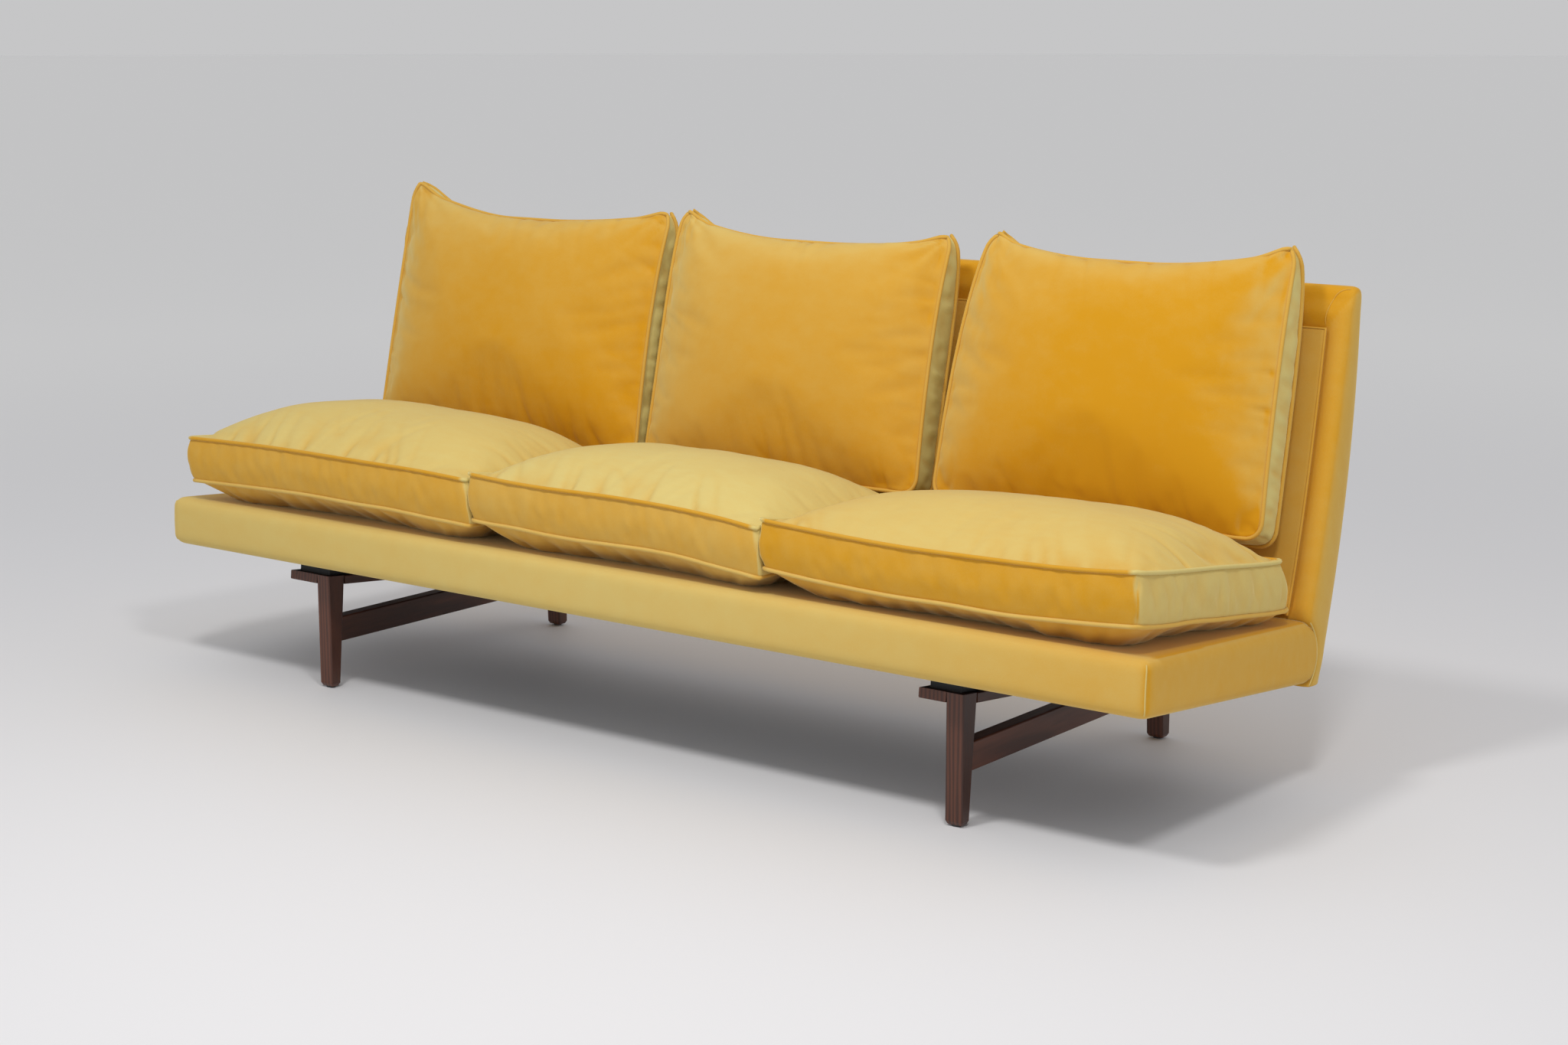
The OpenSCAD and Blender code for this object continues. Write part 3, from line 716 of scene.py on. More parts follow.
        # Front and rear tone, then the tone within 13 mm of the ends; the upper piping's pale ends are a painted
        # sheen
        deep, pale = (0.1, 0.9) if end > 0 else (0.5, 0.35)

        def pile(v):
            left, right = self.span((v.co.y - FRONT_Y) / (2 * self.half_d))
            return pale if min(v.co.x - left, right - v.co.x) < 13 * MM else deep

        return pile


class BackCushion(Cushion):
    """A back cushion, which leans on the back. Its band goes round its Y axis."""

    KIND, SEAM_AXIS, ZIP_AT = "back", 1, (0, 0, -1)
    ROUNDS = ((-1, "front"), (1, "rear"))
    CORNER = 28 * MM
    PULL = 5 * MM
    BAND_BULGE = 4 * MM

    def __init__(self, side, cushions):
        super().__init__(side)
        self.half_h = cushions.back_height / 2
        self.band = cushions.back_band
        self.swell = cushions.back_swell
        self.rear_swell = cushions.rear_swell
        self.roll = cushions.front_roll
        self.ears = (cushions.left_ears[self.index], cushions.right_ears[self.index])
        self.shifts = (cushions.left_shifts[self.index], cushions.right_shifts[self.index])
        self.curl = cushions.curls[self.index]
        self.sag = cushions.top_sags[self.index]
        self.seed = self.index + 5
        # How much painted sheen pales the front's right edge where it rolls away
        self.right_painted_sheen = 1.0 if side == "right" else 0.15
        self.foot = Vector(((self.low.x + self.high.x) / 2, FRONT_Y + 0.450, 0.405))
        self.sizes = (2 * self.half_w, self.band, 2 * self.half_h)

    def __call__(self, b):
        bx, by, bz = b
        behind, up = (by + 1) / 2, (bz + 1) / 2
        edge, right = max(abs(bx), abs(bz)), bx > 0
        x, h = round_corner(bx * self.half_w, bz * self.half_h, self.half_w, self.half_h,
                            self.CORNER)
        pull = self.PULL - self.BAND_BULGE * (1 - by * by) * (edge > ON_FACE)
        x -= pull * bx * abs(bx) * (1 - bz * bz)
        x += self.shifts[right] * abs(bx) ** 1.5 * up ** 2.8
        x -= 6 * MM * bx * (abs(bx) * up) ** 20
        tip = abs(bx) ** 8 * up ** 8
        h += self.half_h - self.sag * (1 - abs(bx) ** 5) * up ** 4
        ear = 0.65 * smooth_step(0.15, 1, abs(bx)) + 0.35 * smooth_step(0.75, 1, abs(bx))
        h += self.ears[right] * ear * up ** 4
        h += behind * (-11 * MM + 15 * MM * tip)
        full = superellipse(bx, bz, 3.2, 3.2) ** 0.7
        out = -0.3 * self.band * tip + self.curl * tip * (not right)
        out -= 8 * MM * up ** 10 * (1 - abs(bx) ** 4)
        depth = self.band * (1 - 0.78 * tip)
        if edge > ON_FACE and abs(bz) < ON_FACE:
            x += 5 * MM * bx * (1 - bz * bz) * behind
        if by < -ON_FACE:
            out += self.swell * full
            fall = (1 - bz) * self.half_h / (18 * MM)
            h += self.roll * fall * math.exp(1 - fall) * (1 - abs(bx) ** 5)
        elif by > ON_FACE:
            out -= depth + self.rear_swell * full
        else:
            out -= depth * behind
        return self.place(x, out, h)

    def place(self, x, out, h):
        """A place from x, the height up the lean and the distance out of the front."""
        return self.foot + Vector((x, 0, 0)) + LEAN_UP * h + LEAN_FRONT * out

    def creases(self, b):
        """As for a seat cushion, with creases that fan out from the upper corners."""
        x, h, seed = b.x * self.half_w, b.z * self.half_h, self.seed
        dx, dh = self.half_w - abs(x), self.half_h - abs(h)
        if abs(b.y) > 0.99:
            inside = min(dx, dh)
            soft = 2.2 * MM * wave(x * 8, h * 8, seed + 30) * min(1, inside / 0.05)
            lines = (puckers(h, x, 0.2, dx, 0.032, seed)
                     + puckers(x, h, 0.2, dh, 0.035, seed + 1))
            fall = self.half_h - h
            away = math.hypot(dx, fall)
            rays = groove(math.atan2(fall, dx) * 0.12, away, seed + 2)
            rays *= math.exp(-away / 0.07)
            lines = (lines + rays * min(1, away / 0.02)) * min(1, inside / 0.008)
            # The second number deepens the colour in the creases, a painted shade
            return soft - 4.5 * MM * lines, -0.15 * lines
        along = h if dx < dh else x
        ripple = wave(along * 62, b.y * 0.6, seed + 3)
        ripple -= 0.7 * groove(along, b.y * 0.03, seed + 4)
        ripple *= 3.2 * (1 - b.y * b.y)
        # The second number pales the band where its wrinkles stand out and deepens it in their hollows, painted
        # light and shade
        return MM * ripple, 0.08 * ripple

    def keep_off(self, place, b):
        """Nothing is in the way of a back cushion."""

    def pile(self, b, normal):
        """Front: deeper low down, partly its pile and partly painted shade; paler towards the left; paler where it
        rolls sideways, a painted sheen; paler where it faces up, painted top light. Rear in a mid tone; bands
        pale, partly their pile and partly a painted sheen.
        """
        if b.y < -0.97:
            # Painted sheen where the front rolls sideways
            sideways = smooth_step(0.16, 0.8, abs(normal.x))
            if b.x > 0:
                sideways *= self.right_painted_sheen
            # Painted top light where the front faces up
            painted_top_light = smooth_step(0.3, 0.95, normal.z)
            leftwards = smooth_step(0.0, 1.0, -b.x)
            # Deeper low down, partly its pile and partly painted shade
            return 0.06 * b.z + 0.18 * leftwards + 0.5 * sideways + 0.25 * painted_top_light
        # Rear in a mid tone; bands pale, partly their pile and partly a painted sheen
        return 0.3 if b.y > 0.97 else 0.9

    def piping(self, end, path, radius):
        """The pile of a piping, whose path stays as it is."""
        return 0.28


def cushion_block(shape):
    """The unfilled cover of a cushion as a grid, with its box coordinates stored."""
    near = (0.004, 0.010, 0.017)
    places = []
    for axis, size in enumerate(shape.sizes):
        if axis == shape.SEAM_AXIS:
            count = max(4, round(size / 0.0085))
            places.append([-1 + 2 * i / count for i in range(count + 1)])
        else:
            along = stations(-size / 2, size / 2, near, 0.0092)
            places.append([2 * c / size for c in along])
    bm = block(places)
    boxes = [v.co.copy() for v in bm.verts]
    for v in bm.verts:
        v.co = shape(v.co)
    if bm.calc_volume(signed=True) < 0:
        bmesh.ops.reverse_faces(bm, faces=bm.faces)
    piece = new_piece(f"{shape.name}_velvet", bm, finish("gold_velvet"))
    store(piece.data, "box", "FLOAT_VECTOR", boxes)
    group = piece.vertex_groups.new(name="seam")
    # Points of a seam lie on a panel and on the band
    on_seam = [i for i, b in enumerate(boxes) if abs(b[shape.SEAM_AXIS]) > ON_FACE
               and sum(abs(c) > ON_FACE for c in b) > 1]
    group.add(on_seam, 1.0, "REPLACE")
    return piece


def fill(pieces, cushions, cap):
    """Swells the covers by cloth simulation, with their seams held, and keeps every
    point within the cap of where it was."""
    scene = bpy.context.scene
    for piece in pieces:
        # A stiff, weightless cover with its seams pinned, cut a little larger than its box
        modifier = piece.modifiers.new("Filling", "CLOTH")
        settings = modifier.settings
        settings.quality = 5
        settings.mass = 0.3
        settings.tension_stiffness = settings.compression_stiffness = 14
        settings.shear_stiffness = 5
        settings.bending_stiffness = 0.4
        settings.air_damping = 2
        settings.use_pressure = True
        settings.uniform_pressure_force = cushions.pressure
        settings.effector_weights.gravity = 0
        settings.vertex_group_mass = "seam"
        settings.pin_stiffness = 1
        settings.shrink_min = -0.012
        modifier.point_cache.frame_start = 1
        modifier.point_cache.frame_end = cushions.frames
    for step in range(1, cushions.frames + 1):
        scene.frame_set(step)
    graph = bpy.context.evaluated_depsgraph_get()
    for piece in pieces:
        grown = piece.evaluated_get(graph).to_mesh()
        places = [v.co.copy() for v in grown.vertices]
        piece.evaluated_get(graph).to_mesh_clear()
        piece.modifiers.clear()
        for v, place in zip(piece.data.vertices, places):
            move = place - v.co
            v.co += move * (cap / move.length if move.length > cap else 1)
    scene.frame_set(1)


def seam_loop(shape, end, out):
    """Closed path along one seam of a cushion, moved out by a little."""
    a, b = [axis for axis in range(3) if axis != shape.SEAM_AXIS]
    path = []
    for run, held, side, way in ((a, b, -1, 1), (b, a, 1, 1), (a, b, 1, -1), (b, a, -1, -1)):
        count = round(shape.sizes[run] / 0.008)
        for i in range(count):
            box = Vector((0, 0, 0))
            box[run], box[held] = way * (-1 + 2 * i / count), side
            box[shape.SEAM_AXIS] = end
            path.append(shape(box))
    middle = sum(path, Vector()) / len(path)
    return [p + (p - middle).normalized() * out for p in path]


def finish_cushion(piece, shape):
    """Subdivides a filled cover, creases it and paints its pile, with painted sheen and painted shade."""
    subdivide(piece)
    mesh = piece.data
    boxes = [Vector(item.vector) for item in mesh.attributes["box"].data]
    normals = [v.normal.copy() for v in mesh.vertices]
    crease_shading = []
    for v, b, normal in zip(mesh.vertices, boxes, normals):
        move, turn = shape.creases(b)
        place = v.co + normal * move
        shape.keep_off(place, b)
        v.co = place
        crease_shading.append(turn)
    mesh.update()
    extra = EXTRA_PILE[shape.side]
    # Stored per vertex: the cushion's own tone, the painted light and shade of its creases, and its pile tone with
    # painted sheen and shade
    store(mesh, "nap_and_painted_light", "FLOAT", [extra + turn + shape.pile(b, v.normal)
                                 for b, v, turn in zip(boxes, mesh.vertices, crease_shading)])


def add_zip(shape, cushion):
    """A zip on a cushion's band: tape, two rows of teeth and a steel puller."""
    half_w, name = shape.half_w, f"{shape.KIND}_zip_{shape.side}"
    # Half the zip's length, and the steps of its tape along and across
    run = half_w - 80 * MM
    count = round(2 * run / (5 * MM))
    widths = (-11 * MM, -4 * MM, 4 * MM, 11 * MM)
    bm = bmesh.new()

    def on_band(x, side, raise_by):
        """Axes of a place on the band: x, off its middle line, and above its surface."""
        box = Vector(shape.ZIP_AT)
        box.x = x / half_w
        hit, place, normal, _ = cushion.closest_point_on_mesh(shape(box))
        sideways = normal.cross(Vector((1, 0, 0))).normalized()
        if not hit:
            raise RuntimeError("no cushion surface near " + name)
        turn = normal.to_track_quat("Z", "X").to_matrix().to_4x4()
        return Matrix.Translation(place + normal * raise_by + sideways * side) @ turn

    bmesh.ops.create_grid(bm, x_segments=count, y_segments=3, size=1)
    for v in bm.verts:
        i, k = round((v.co.x + 1) / 2 * count), round((v.co.y + 1) / 2 * 3)
        v.co = on_band(-run + 2 * run * i / count, widths[k], 1.2 * MM).translation
    bmesh.ops.reverse_faces(bm, faces=bm.faces)
    bmesh.ops.recalc_face_normals(bm, faces=bm.faces)
    bmesh.ops.solidify(bm, geom=bm.faces[:], thickness=0.8 * MM)
    for i in range(round(2 * run / (4 * MM))):
        for side, shift in ((-1.2 * MM, 0), (1.2 * MM, 2 * MM)):
            add_cube(bm, on_band(-run + 4 * MM * i + shift, side, 2.0 * MM),
                     (1.6 * MM, 1.6 * MM, 1.4 * MM))
    strip = new_piece(f"{name}_strip", bm, finish("zip_tape"), smooth=False)
    end = on_band(run, 0, 4 * MM)
    fit(strip, shape.body, "zip_tape", name)
    bm = bmesh.new()
    for size, shift in (((9, 8, 4), (0, 0, 0)), ((5, 20, 1.2), (0, -12, 1.5))):
        add_cube(bm, end @ Matrix.Translation([c * MM for c in shift]),
                 [c * MM for c in size])
    bmesh.ops.bevel(bm, geom=bm.edges[:], offset=0.4 * MM, affect="EDGES", segments=2,
                    profile=0.5, material=-1)
    fit(new_piece(f"{name}_puller", bm, finish("steel"), smooth=False), shape.body, "steel")


def make_cushions(scene, kind):
    """The three cushions of one kind, filled together, each with its zip and piping."""
    cushions, radius = scene.sofa_cushions, scene.sofa_fabric.piping
    shapes = [kind(side, cushions) for side in SIDES]
    pieces = [cushion_block(shape) for shape in shapes]
    fill(pieces, cushions, 0.024)
    for shape, piece in zip(shapes, pieces):
        finish_cushion(piece, shape)
        fit(piece, shape.body, "velvet", shape.name, f"{shape.KIND}_core_{shape.side}")
        add_zip(shape, piece)
        for end, word in shape.ROUNDS:
            path = seam_loop(shape, end, 1.5 * MM)
            pile = shape.piping(end, path, radius)
            velvet_line(f"{shape.KIND}_piping_{shape.side}_{word}", path, radius, pile,
                        shape.body, closed=True)


class SOFA_OT_seat_cushions(bpy.types.Operator):
    """Three boxed seat cushions with two rounds of piping each"""

    bl_idname = "sofa.seat_cushions"
    bl_label = "Seat cushions"

    def execute(self, context):
        make_cushions(context.scene, SeatCushion)
        return {"FINISHED"}


class SOFA_OT_back_cushions(bpy.types.Operator):
    """Three boxed back cushions with two rounds of piping each"""

    bl_idname = "sofa.back_cushions"
    bl_label = "Back cushions"

    def execute(self, context):
        make_cushions(context.scene, BackCushion)
        return {"FINISHED"}


# ---------- base and back ----------


def base_point(p, body):
    """A point of the base from plan coordinates: x, y behind the front, and height from
    0 at the underside to the full thickness at the top. The far end is left square."""
    low, high = Vector((-HALF_W, 0, 0)), Vector((HALF_W, 2.0, THICK))
    q = rounded(p, low, high, body.base_edge)
    share = q.z / THICK
    y = FRONT_Y + q.y + FRONT_RAKE * share
    if p.y < 2 * MM:
        y -= 2.5 * MM * (1 - (2 * share - 1) ** 2) + 1.0 * MM * wave(p.x * 4, share, 3)
    return Vector((q.x, y, at_share(y, share)))


def seam_y(share):
    """Side seam between base and back: distance behind the front at a share of the
    base's height."""
    return curve_point(0.503, 0.552, 0.500, share)


def at_share(y, share):
    """Height at a share of the base's thickness."""
    return under_z(y) + (deck_z(y) - under_z(y)) * share


class SOFA_OT_seat_base(bpy.types.Operator):
    """The velvet cover of the base, its seams and the cloth below it"""

    bl_idname = "sofa.seat_base"
    bl_label = "Seat base"

    def execute(self, context):
        body = context.scene.sofa_body
        cover = self.shell("seat_cover_velvet", body, "gold_velvet", 0, body.cover, 0.026, 9)
        paint(cover, self.pile)
        fit(cover, "frame", "velvet", "seat_cover")
        foam = self.shell("edge_padding_foam", body, "foam", 3.2 * MM, 9 * MM, 0.010, 0.026)
        fit(foam, "frame", "foam", "edge_padding")
        self.seams(body, context.scene.sofa_fabric)
        self.dust_cloth()
        return {"FINISHED"}

    def pile(self, v):
        """Deeper towards the right and at the ends; deeper round the front corners, a painted shade in their
        rounding; deeper on the deck under the cushions, a painted shade.
        """
        end = smooth_step(0.5, 0.9, abs(v.normal.x))
        # Painted shade in the rounding of the front corners
        corner_shade = 4 * (v.normal.x * v.normal.y) ** 2
        # Painted shade on the deck behind its front edge, under the cushions
        under = smooth_step(0.02, 0.05, v.co.y - FRONT_Y - FRONT_RAKE) * (v.normal.z > 0.9)
        return (0.68 - 0.10 * smooth_step(0, 0.6, v.co.x)
                - 0.22 * smooth_step(0.5, 1.0, v.co.x) - 0.12 * end - 0.25 * corner_shade
                - 0.4 * under)

    def seams(self, body, fabric):
        """Upright seams at the front corners, and those between the base and the back."""
        for side, sign in (("left", -1), ("right", 1)):
            corner = [base_point(Vector((sign * HALF_W, 0, THICK * i / 16)), body)
                      for i in range(17)]
            joint = []
            for i in range(21):
                y = FRONT_Y + seam_y(i / 20)
                joint.append(Vector((sign * (HALF_W - 0.4 * MM), y, at_share(y, i / 20))))
            for word, path in (("corner", corner), ("back", joint)):
                velvet_line(f"base_{word}_seam_{side}", path, fabric.seam, 0.75)

    def dust_cloth(self):
        """Black cloth stapled under the base, on both of its long and short edges."""
        near, far = DUST_LOW.y + 20 * MM, DUST_HIGH.y - 16 * MM
        reach = HALF_W - 22 * MM
        bm = bmesh.new()
        bmesh.ops.create_grid(bm, x_segments=80, y_segments=24, size=1)
        for v in bm.verts:
            y = near + (far - near) * (v.co.y + 1) / 2
            v.co = (reach * v.co.x, y, under_z(y) - 0.5 * MM)
        # Two faces back to back, so that the cloth is closed
        bmesh.ops.reverse_faces(bm, faces=bm.faces)
        bmesh.ops.solidify(bm, geom=bm.faces[:], thickness=0)
        bmesh.ops.recalc_face_normals(bm, faces=bm.faces)
        cloth = new_piece("dust_cloth", bm, finish("black_cloth"), smooth=False)
        fit(cloth, "frame", "black_cloth", "dust_cover")
        bm = bmesh.new()
        wide, long = (11 * MM, 0.8 * MM), (0.8 * MM, 11 * MM)
        for side, y in ((-1, near + 6 * MM), (1, far - 6 * MM)):
            spots = [(side * (reach - 6 * MM), near + (far - near) * (i + 0.5) / 9, long)
                     for i in range(9)]
            spots += [(-reach + 2 * reach * (i + 0.5) / 34, y, wide) for i in range(34)]
            for x, y, size in spots:
                add_cube(bm, Matrix.Translation((x, y, under_z(y) - 0.7 * MM)),
                         (*size, 0.8 * MM))
        fit(new_piece("dust_staples", bm, finish("steel"), smooth=False), "frame", "steel")

    def shell(self, name, body, material, inset, thickness, under_lap, top_lap):
        """The rounded front, ends and top of the base, moved in by the inset, with laps
        of the given widths along the underside and the top."""
        near = (0.002, 0.006, 0.011, 0.018, 0.027)
        # Plan depth of the rear edge, which is moved to the seam below
        end = 0.5
        rows = stations(0, end, near, 0.02)
        bm = block([stations(-HALF_W, HALF_W, near, 0.022),
                    [r for r in rows if r < 0.47] + [0.48, 0.49, end],
                    stations(0, THICK, near, 0.012)])

        def inner(f, lap, z):
            return all(abs(v.co.z - z) < 1e-6 and v.co.y > lap
                       and abs(v.co.x) < HALF_W - lap for v in f.verts)

        hidden = [f for f in bm.faces if all(v.co.y > end - 1e-4 for v in f.verts)
                  or inner(f, under_lap, 0) or inner(f, top_lap, THICK)]
        bmesh.ops.delete(bm, geom=hidden, context="FACES")
        for v in bm.verts:
            v.co.y *= seam_y(v.co.z / THICK) / end
            v.co = base_point(v.co, body)
        piece = new_piece(name, bm, finish(material))
        subdivide(piece)
        if inset:
            shrink = piece.modifiers.new("Inset", "DISPLACE")
            shrink.strength = -inset
            shrink.mid_level = 0
        solid = piece.modifiers.new("Thickness", "SOLIDIFY")
        solid.thickness = thickness
        solid.offset = -1
        apply_modifiers(piece)
        return piece


def front_curve(t):
    """Front of the back from the deck to the top: distance behind the front, height."""
    low = Vector((0.506, deck_z(FRONT_Y + 0.506)))
    return curve_point(low, Vector((0.566, 0.455)), Vector((0.612, BACK_HIGH.z)), t)


def rear_curve(t):
    low = Vector((0.548, under_z(FRONT_Y + 0.548)))
    return curve_point(low, Vector((0.650, 0.470)), Vector((0.645, BACK_HIGH.z)), t)


def at_height(curve, z):
    """Distance behind the front at which a curve of the back reaches a height."""
    low, high = 0.0, 1.0
    for _ in range(30):
        middle = (low + high) / 2
        if curve(middle).y < z:
            low = middle
        else:
            high = middle
    return curve(low).x


def back_front_y(z):
    base_top = deck_z(FRONT_Y + 0.5)
    if z < base_top:
        floor = under_z(FRONT_Y + 0.503)
        return seam_y(min(max((z - floor) / (base_top - floor), 0), 1))
    return at_height(front_curve, z)


class SOFA_OT_back_rest(bpy.types.Operator):
    """The leaning back: bordered body, front panel, rear panel and seams"""

    bl_idname = "sofa.back_rest"
    bl_label = "Back"

    def execute(self, context):
        body = context.scene.sofa_body
        near = (0.003, 0.008, 0.014, 0.021, 0.030, 0.038, 0.044)
        bm = block([stations(-HALF_W, HALF_W, near, 0.024), [-1, -0.6, 0, 0.6, 1],
                    stations(BACK_LOW.z, BACK_HIGH.z, near, 0.014)])
        for v in bm.verts:
            v.co = self.body_point(v.co, body)
        piece = new_piece("back_cover_velvet", bm, finish("gold_velvet"))
        subdivide(piece)
        paint(piece, self.pile)
        fit(piece, "frame", "velvet", "back_cover")
        self.panel("back_panel", front_curve, (0.024, 0.014), 7 * MM, 4 * MM, 1 * MM,
                   3 * MM, 0.26)
        self.panel("back_rear_cover", rear_curve, (0.03, 0.018), 4 * MM, 3 * MM, -1 * MM,
                   0, 0.22)
        self.seams(body, context.scene.sofa_fabric)
        return {"FINISHED"}

    def pile(self, v):
        """Deeper on the border above the panel, and paler at the ends, a painted sheen where the border turns
        sideways.
        """
        # Painted sheen where the ends turn sideways
        end = smooth_step(0.82, 1.0, abs(v.normal.x))
        over = v.co.z - PANEL_HIGH.z > 1.4 * (abs(v.co.x) - PANEL_HIGH.x)
        return 0.14 - 0.1 * over + 0.25 * end

    def seams(self, body, fabric):
        """Mitres at the upper corners, and the welts round the two panels."""
        wide, tall = HALF_W - PANEL_HIGH.x, BACK_HIGH.z - PANEL_HIGH.z
        for side, sign in (("left", -1), ("right", 1)):
            path = []
            for i in range(19):
                turn = math.radians(5 * i)
                x = PANEL_HIGH.x - 3 * MM + (wide - 8 * MM) * (1 - math.cos(turn))
                z = PANEL_HIGH.z + tall * math.sin(turn)
                path.append(self.body_point(Vector((sign * x, -1, z)), body))
            velvet_line(f"back_mitre_{side}", path, fabric.seam, 0.2)
        for name, node, curve, lift in (
                ("back_panel_welt", "back_panel", front_curve, -4.5 * MM),
                ("back_rear_welt", "back_rear_cover", rear_curve, 1.5 * MM)):
            low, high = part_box(node)
            up = [low.z + (high.z - low.z) * i / 50 for i in range(51)]
            corners = [(-high.x, z) for z in up] + [(high.x, z) for z in reversed(up)]
            path = [Vector((x, FRONT_Y + at_height(curve, z) + lift, z)) for x, z in corners]
            velvet_line(name, path, 2 * fabric.seam, 0.2)

    def body_point(self, p, body):
        """Rounds the outer edge and sinks the border where it meets the panel. The y of
        the point is -1 at the front and 1 at the rear."""
        z = p.z
        front, rear = back_front_y(z), at_height(rear_curve, z)
        half = (rear - front) / 2
        q = rounded(Vector((p.x, p.y * half, z)), Vector((-HALF_W, -half, BACK_LOW.z - 1)),
                    Vector((HALF_W, half, BACK_HIGH.z)), min(body.back_edge, half * 0.95))
        y = (front + rear) / 2 + q.y
        if p.y < 0 and z > deck_z(FRONT_Y + 0.5):
            inside = max(abs(q.x) - PANEL_HIGH.x, q.z - PANEL_HIGH.z, 0)
            y += 4.5 * MM * math.exp(-(inside / 0.009) ** 2) * -p.y
            y -= body.roll * math.sin(math.pi * min(inside / 0.044, 1)) * -p.y
        return Vector((q.x, FRONT_Y + y, q.z))

    def panel(self, node, curve, steps, half, radius, shift, crown, pile):
        """A thin padded panel that follows a curve of the back, from half its thickness,
        the radius of its edges, its shift to the rear and the crown of its front."""
        low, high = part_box(node)
        near = (0.0015, 0.004, 0.008, 0.014)
        bm = block([stations(low.x, high.x, near, steps[0]), [-1, 0, 1],
                    stations(low.z, high.z, near, steps[1])])
        for v in bm.verts:
            y = FRONT_Y + at_height(curve, v.co.z)
            q = rounded(Vector((v.co.x, v.co.y * half, v.co.z)),
                        Vector((low.x, -half, low.z)), Vector((high.x, half, high.z)), radius)
            inset = min(high.x - abs(q.x), high.z - q.z)
            y += q.y + shift - crown * smooth_step(0, 0.05, inset) * (v.co.y < 0)
            v.co = Vector((q.x, y, q.z))
        piece = new_piece(f"{node}_velvet", bm, finish("gold_velvet"))
        subdivide(piece)
        paint(piece, pile)
        fit(piece, "frame", "velvet", node)


# ---------- woodwork and the parts inside ----------


class SOFA_OT_leg_frames(bpy.types.Operator):
    """Rosewood legs, stretchers and top boards with eased edges"""

    bl_idname = "sofa.leg_frames"
    bl_label = "Leg frames"

    def execute(self, context):
        arris = context.scene.sofa_wood.arris
        for side in ("left", "right"):
            for part in ("front_leg", "rear_leg", "stretcher", "top_board"):
                grain = "rosewood_upright" if "leg" in part else "rosewood_level"
                self.ease(f"{side}_{part}", arris, finish(grain))
        return {"FINISHED"}

    def ease(self, name, arris, material):
        """A copy of a wooden part whose sharp edges are rounded."""
        bm = bmesh.new()
        bm.from_mesh(NODES[name].data)
        bmesh.ops.remove_doubles(bm, verts=bm.verts, dist=1e-6)
        bmesh.ops.dissolve_limit(bm, angle_limit=math.radians(1), verts=bm.verts,
                                 edges=bm.edges)
        sharp = [e for e in bm.edges if e.is_manifold
                 and e.calc_face_angle() > math.radians(35)]
        bmesh.ops.bevel(bm, geom=sharp, offset=arris, affect="EDGES", segments=2,
                        profile=0.5, material=-1, clamp_overlap=True)
        bmesh.ops.recalc_face_normals(bm, faces=bm.faces)
        piece = new_piece(f"{name}_wood", bm, material, smooth=False)
        fit(piece, "frame", "rosewood", name)


class SOFA_OT_inner_parts(bpy.types.Operator):
    """Finishes for the frame, springs, fillings and fasteners inside"""

    bl_idname = "sofa.inner_parts"
    bl_label = "Inner parts"

    def execute(self, context):
        slots = {s["node"]: s["material_slot"] for s in frame["record"]["subparts"]}
        for name, part in NODES.items():
            if part.hide_render or slots[name] in ("velvet", "rosewood"):
                continue
            part.data.materials.clear()
            part.data.materials.append(finish(slots[name]))
        return {"FINISHED"}


# ---------- stage ----------


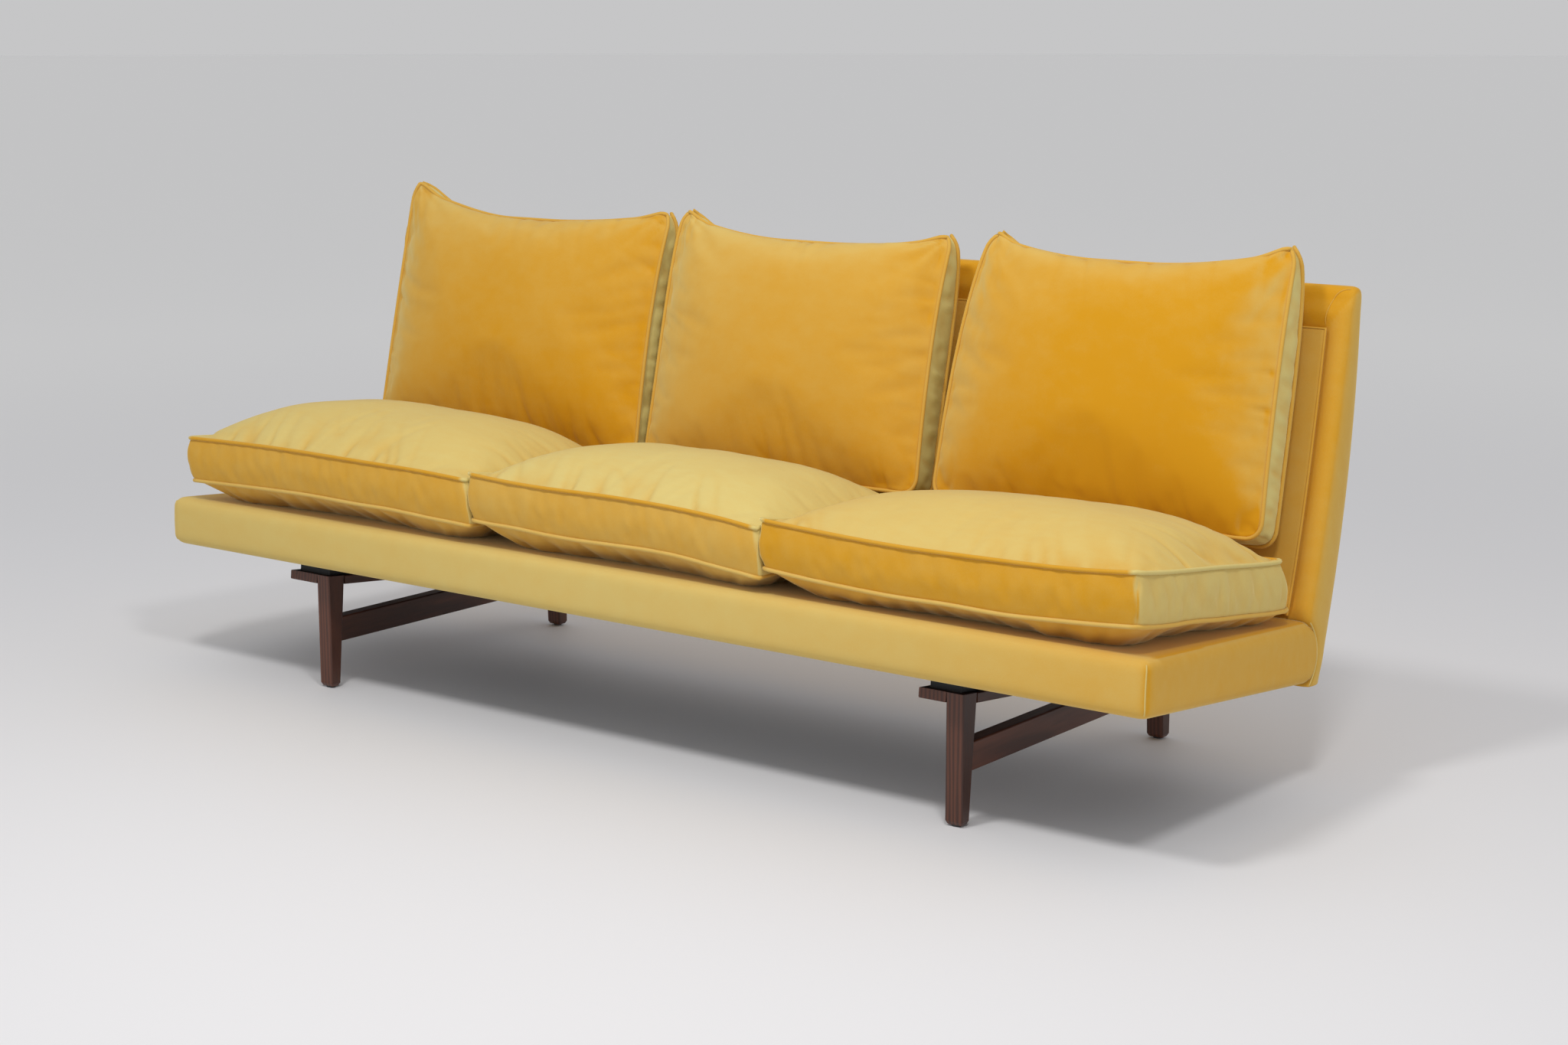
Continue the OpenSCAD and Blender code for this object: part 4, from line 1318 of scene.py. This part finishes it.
class SOFA_OT_stage(bpy.types.Operator):
    """Floor, soft overhead light, even ambient light and the camera"""

    bl_idname = "sofa.stage"
    bl_label = "Stage"

    def execute(self, context):
        scene, stage = context.scene, context.scene.sofa_stage
        scene.view_settings.view_transform = "Standard"
        self.floor(stage)
        self.light("key_right", (1.95, -1.70, 3.00), stage.key)
        self.light("key_left", (0.25, -1.75, 3.00), stage.key)
        world = bpy.data.worlds.new("studio")
        world.use_nodes = True
        set_inputs(world.node_tree, world.node_tree.nodes["Background"],
                   Color=(0.99, 0.99, 1.0, 1), Strength=stage.ambient)
        scene.world = world
        self.camera(scene)
        return {"FINISHED"}

    def floor(self, stage):
        bm = bmesh.new()
        bmesh.ops.create_circle(bm, cap_ends=True, segments=64, radius=60)
        bmesh.ops.translate(bm, verts=bm.verts, vec=(0, 0, CAD_BOX[0].z - 0.0002))
        material, tree, shader, place = new_material("studio_floor")
        away = tree.nodes.new("ShaderNodeVectorMath")
        away.operation = "LENGTH"
        connect(tree, away.inputs[0], place)
        share = node(tree, "ShaderNodeMapRange", Value=away.outputs["Value"], From_Min=1.6,
                     From_Max=6.0)
        share.interpolation_type = "SMOOTHSTEP"
        far = (0.97, 0.97, 0.97)
        set_inputs(tree, shader, Roughness=0.6, Specular_IOR_Level=0.2,
                   Base_Color=blend_colours(tree, share.outputs[0], stage.floor, far))
        new_piece("floor", bm, material, smooth=False)

    def light(self, name, place, power):
        """A round soft light aimed at the sofa."""
        lamp = bpy.data.lights.new(name, "AREA")
        lamp.shape = "DISK"
        lamp.size = 0.5
        lamp.energy = power
        lamp.color = (1.0, 0.985, 0.965)
        holder = bpy.data.objects.new(name, lamp)
        holder.location = place
        holder.rotation_euler = (Vector((0, 0, 0.3)) - Vector(place)).to_track_quat(
            "-Z", "Y").to_euler()
        bpy.context.scene.collection.objects.link(holder)

    def camera(self, scene):
        lens = bpy.data.cameras.new("camera")
        lens.lens = 60.56
        lens.sensor_width = 36
        viewer = bpy.data.objects.new("camera", lens)
        viewer.location = (2.751, -3.434, 1.203)
        viewer.rotation_euler = (math.radians(90 - 11.15), 0, math.radians(37.29))
        scene.collection.objects.link(viewer)
        scene.camera = viewer


# ---------- panel and registration ----------


OPERATORS = (SOFA_OT_stage, SOFA_OT_seat_base, SOFA_OT_back_rest, SOFA_OT_seat_cushions,
             SOFA_OT_back_cushions, SOFA_OT_leg_frames, SOFA_OT_inner_parts)
GROUPS = {"sofa_fabric": SofaFabric, "sofa_cushions": SofaCushions, "sofa_body": SofaBody,
          "sofa_wood": SofaWood, "sofa_stage": SofaStage}


class SOFA_PT_panel(bpy.types.Panel):
    """Lists the sofa's sizes, colours and steps"""

    bl_idname = "SOFA_PT_panel"
    bl_label = "Velvet sofa"
    bl_space_type = "VIEW_3D"
    bl_region_type = "UI"
    bl_category = "Sofa"

    def draw(self, context):
        for name, group in GROUPS.items():
            box = self.layout.box()
            box.label(text=name.replace("_", " ").capitalize())
            for key in group.__annotations__:
                box.prop(getattr(context.scene, name), key)
        for operator in OPERATORS:
            self.layout.operator(operator.bl_idname)


def register():
    for cls in (*GROUPS.values(), *OPERATORS, SOFA_PT_panel):
        bpy.utils.register_class(cls)
    for name, group in GROUPS.items():
        setattr(bpy.types.Scene, name, PointerProperty(type=group))


def unregister():
    for name in GROUPS:
        delattr(bpy.types.Scene, name)
    for cls in reversed((*GROUPS.values(), *OPERATORS, SOFA_PT_panel)):
        bpy.utils.unregister_class(cls)


def main():
    register()
    for operator in OPERATORS:
        group, name = operator.bl_idname.split(".")
        getattr(getattr(bpy.ops, group), name)()


if __name__ == "__main__":
    main()
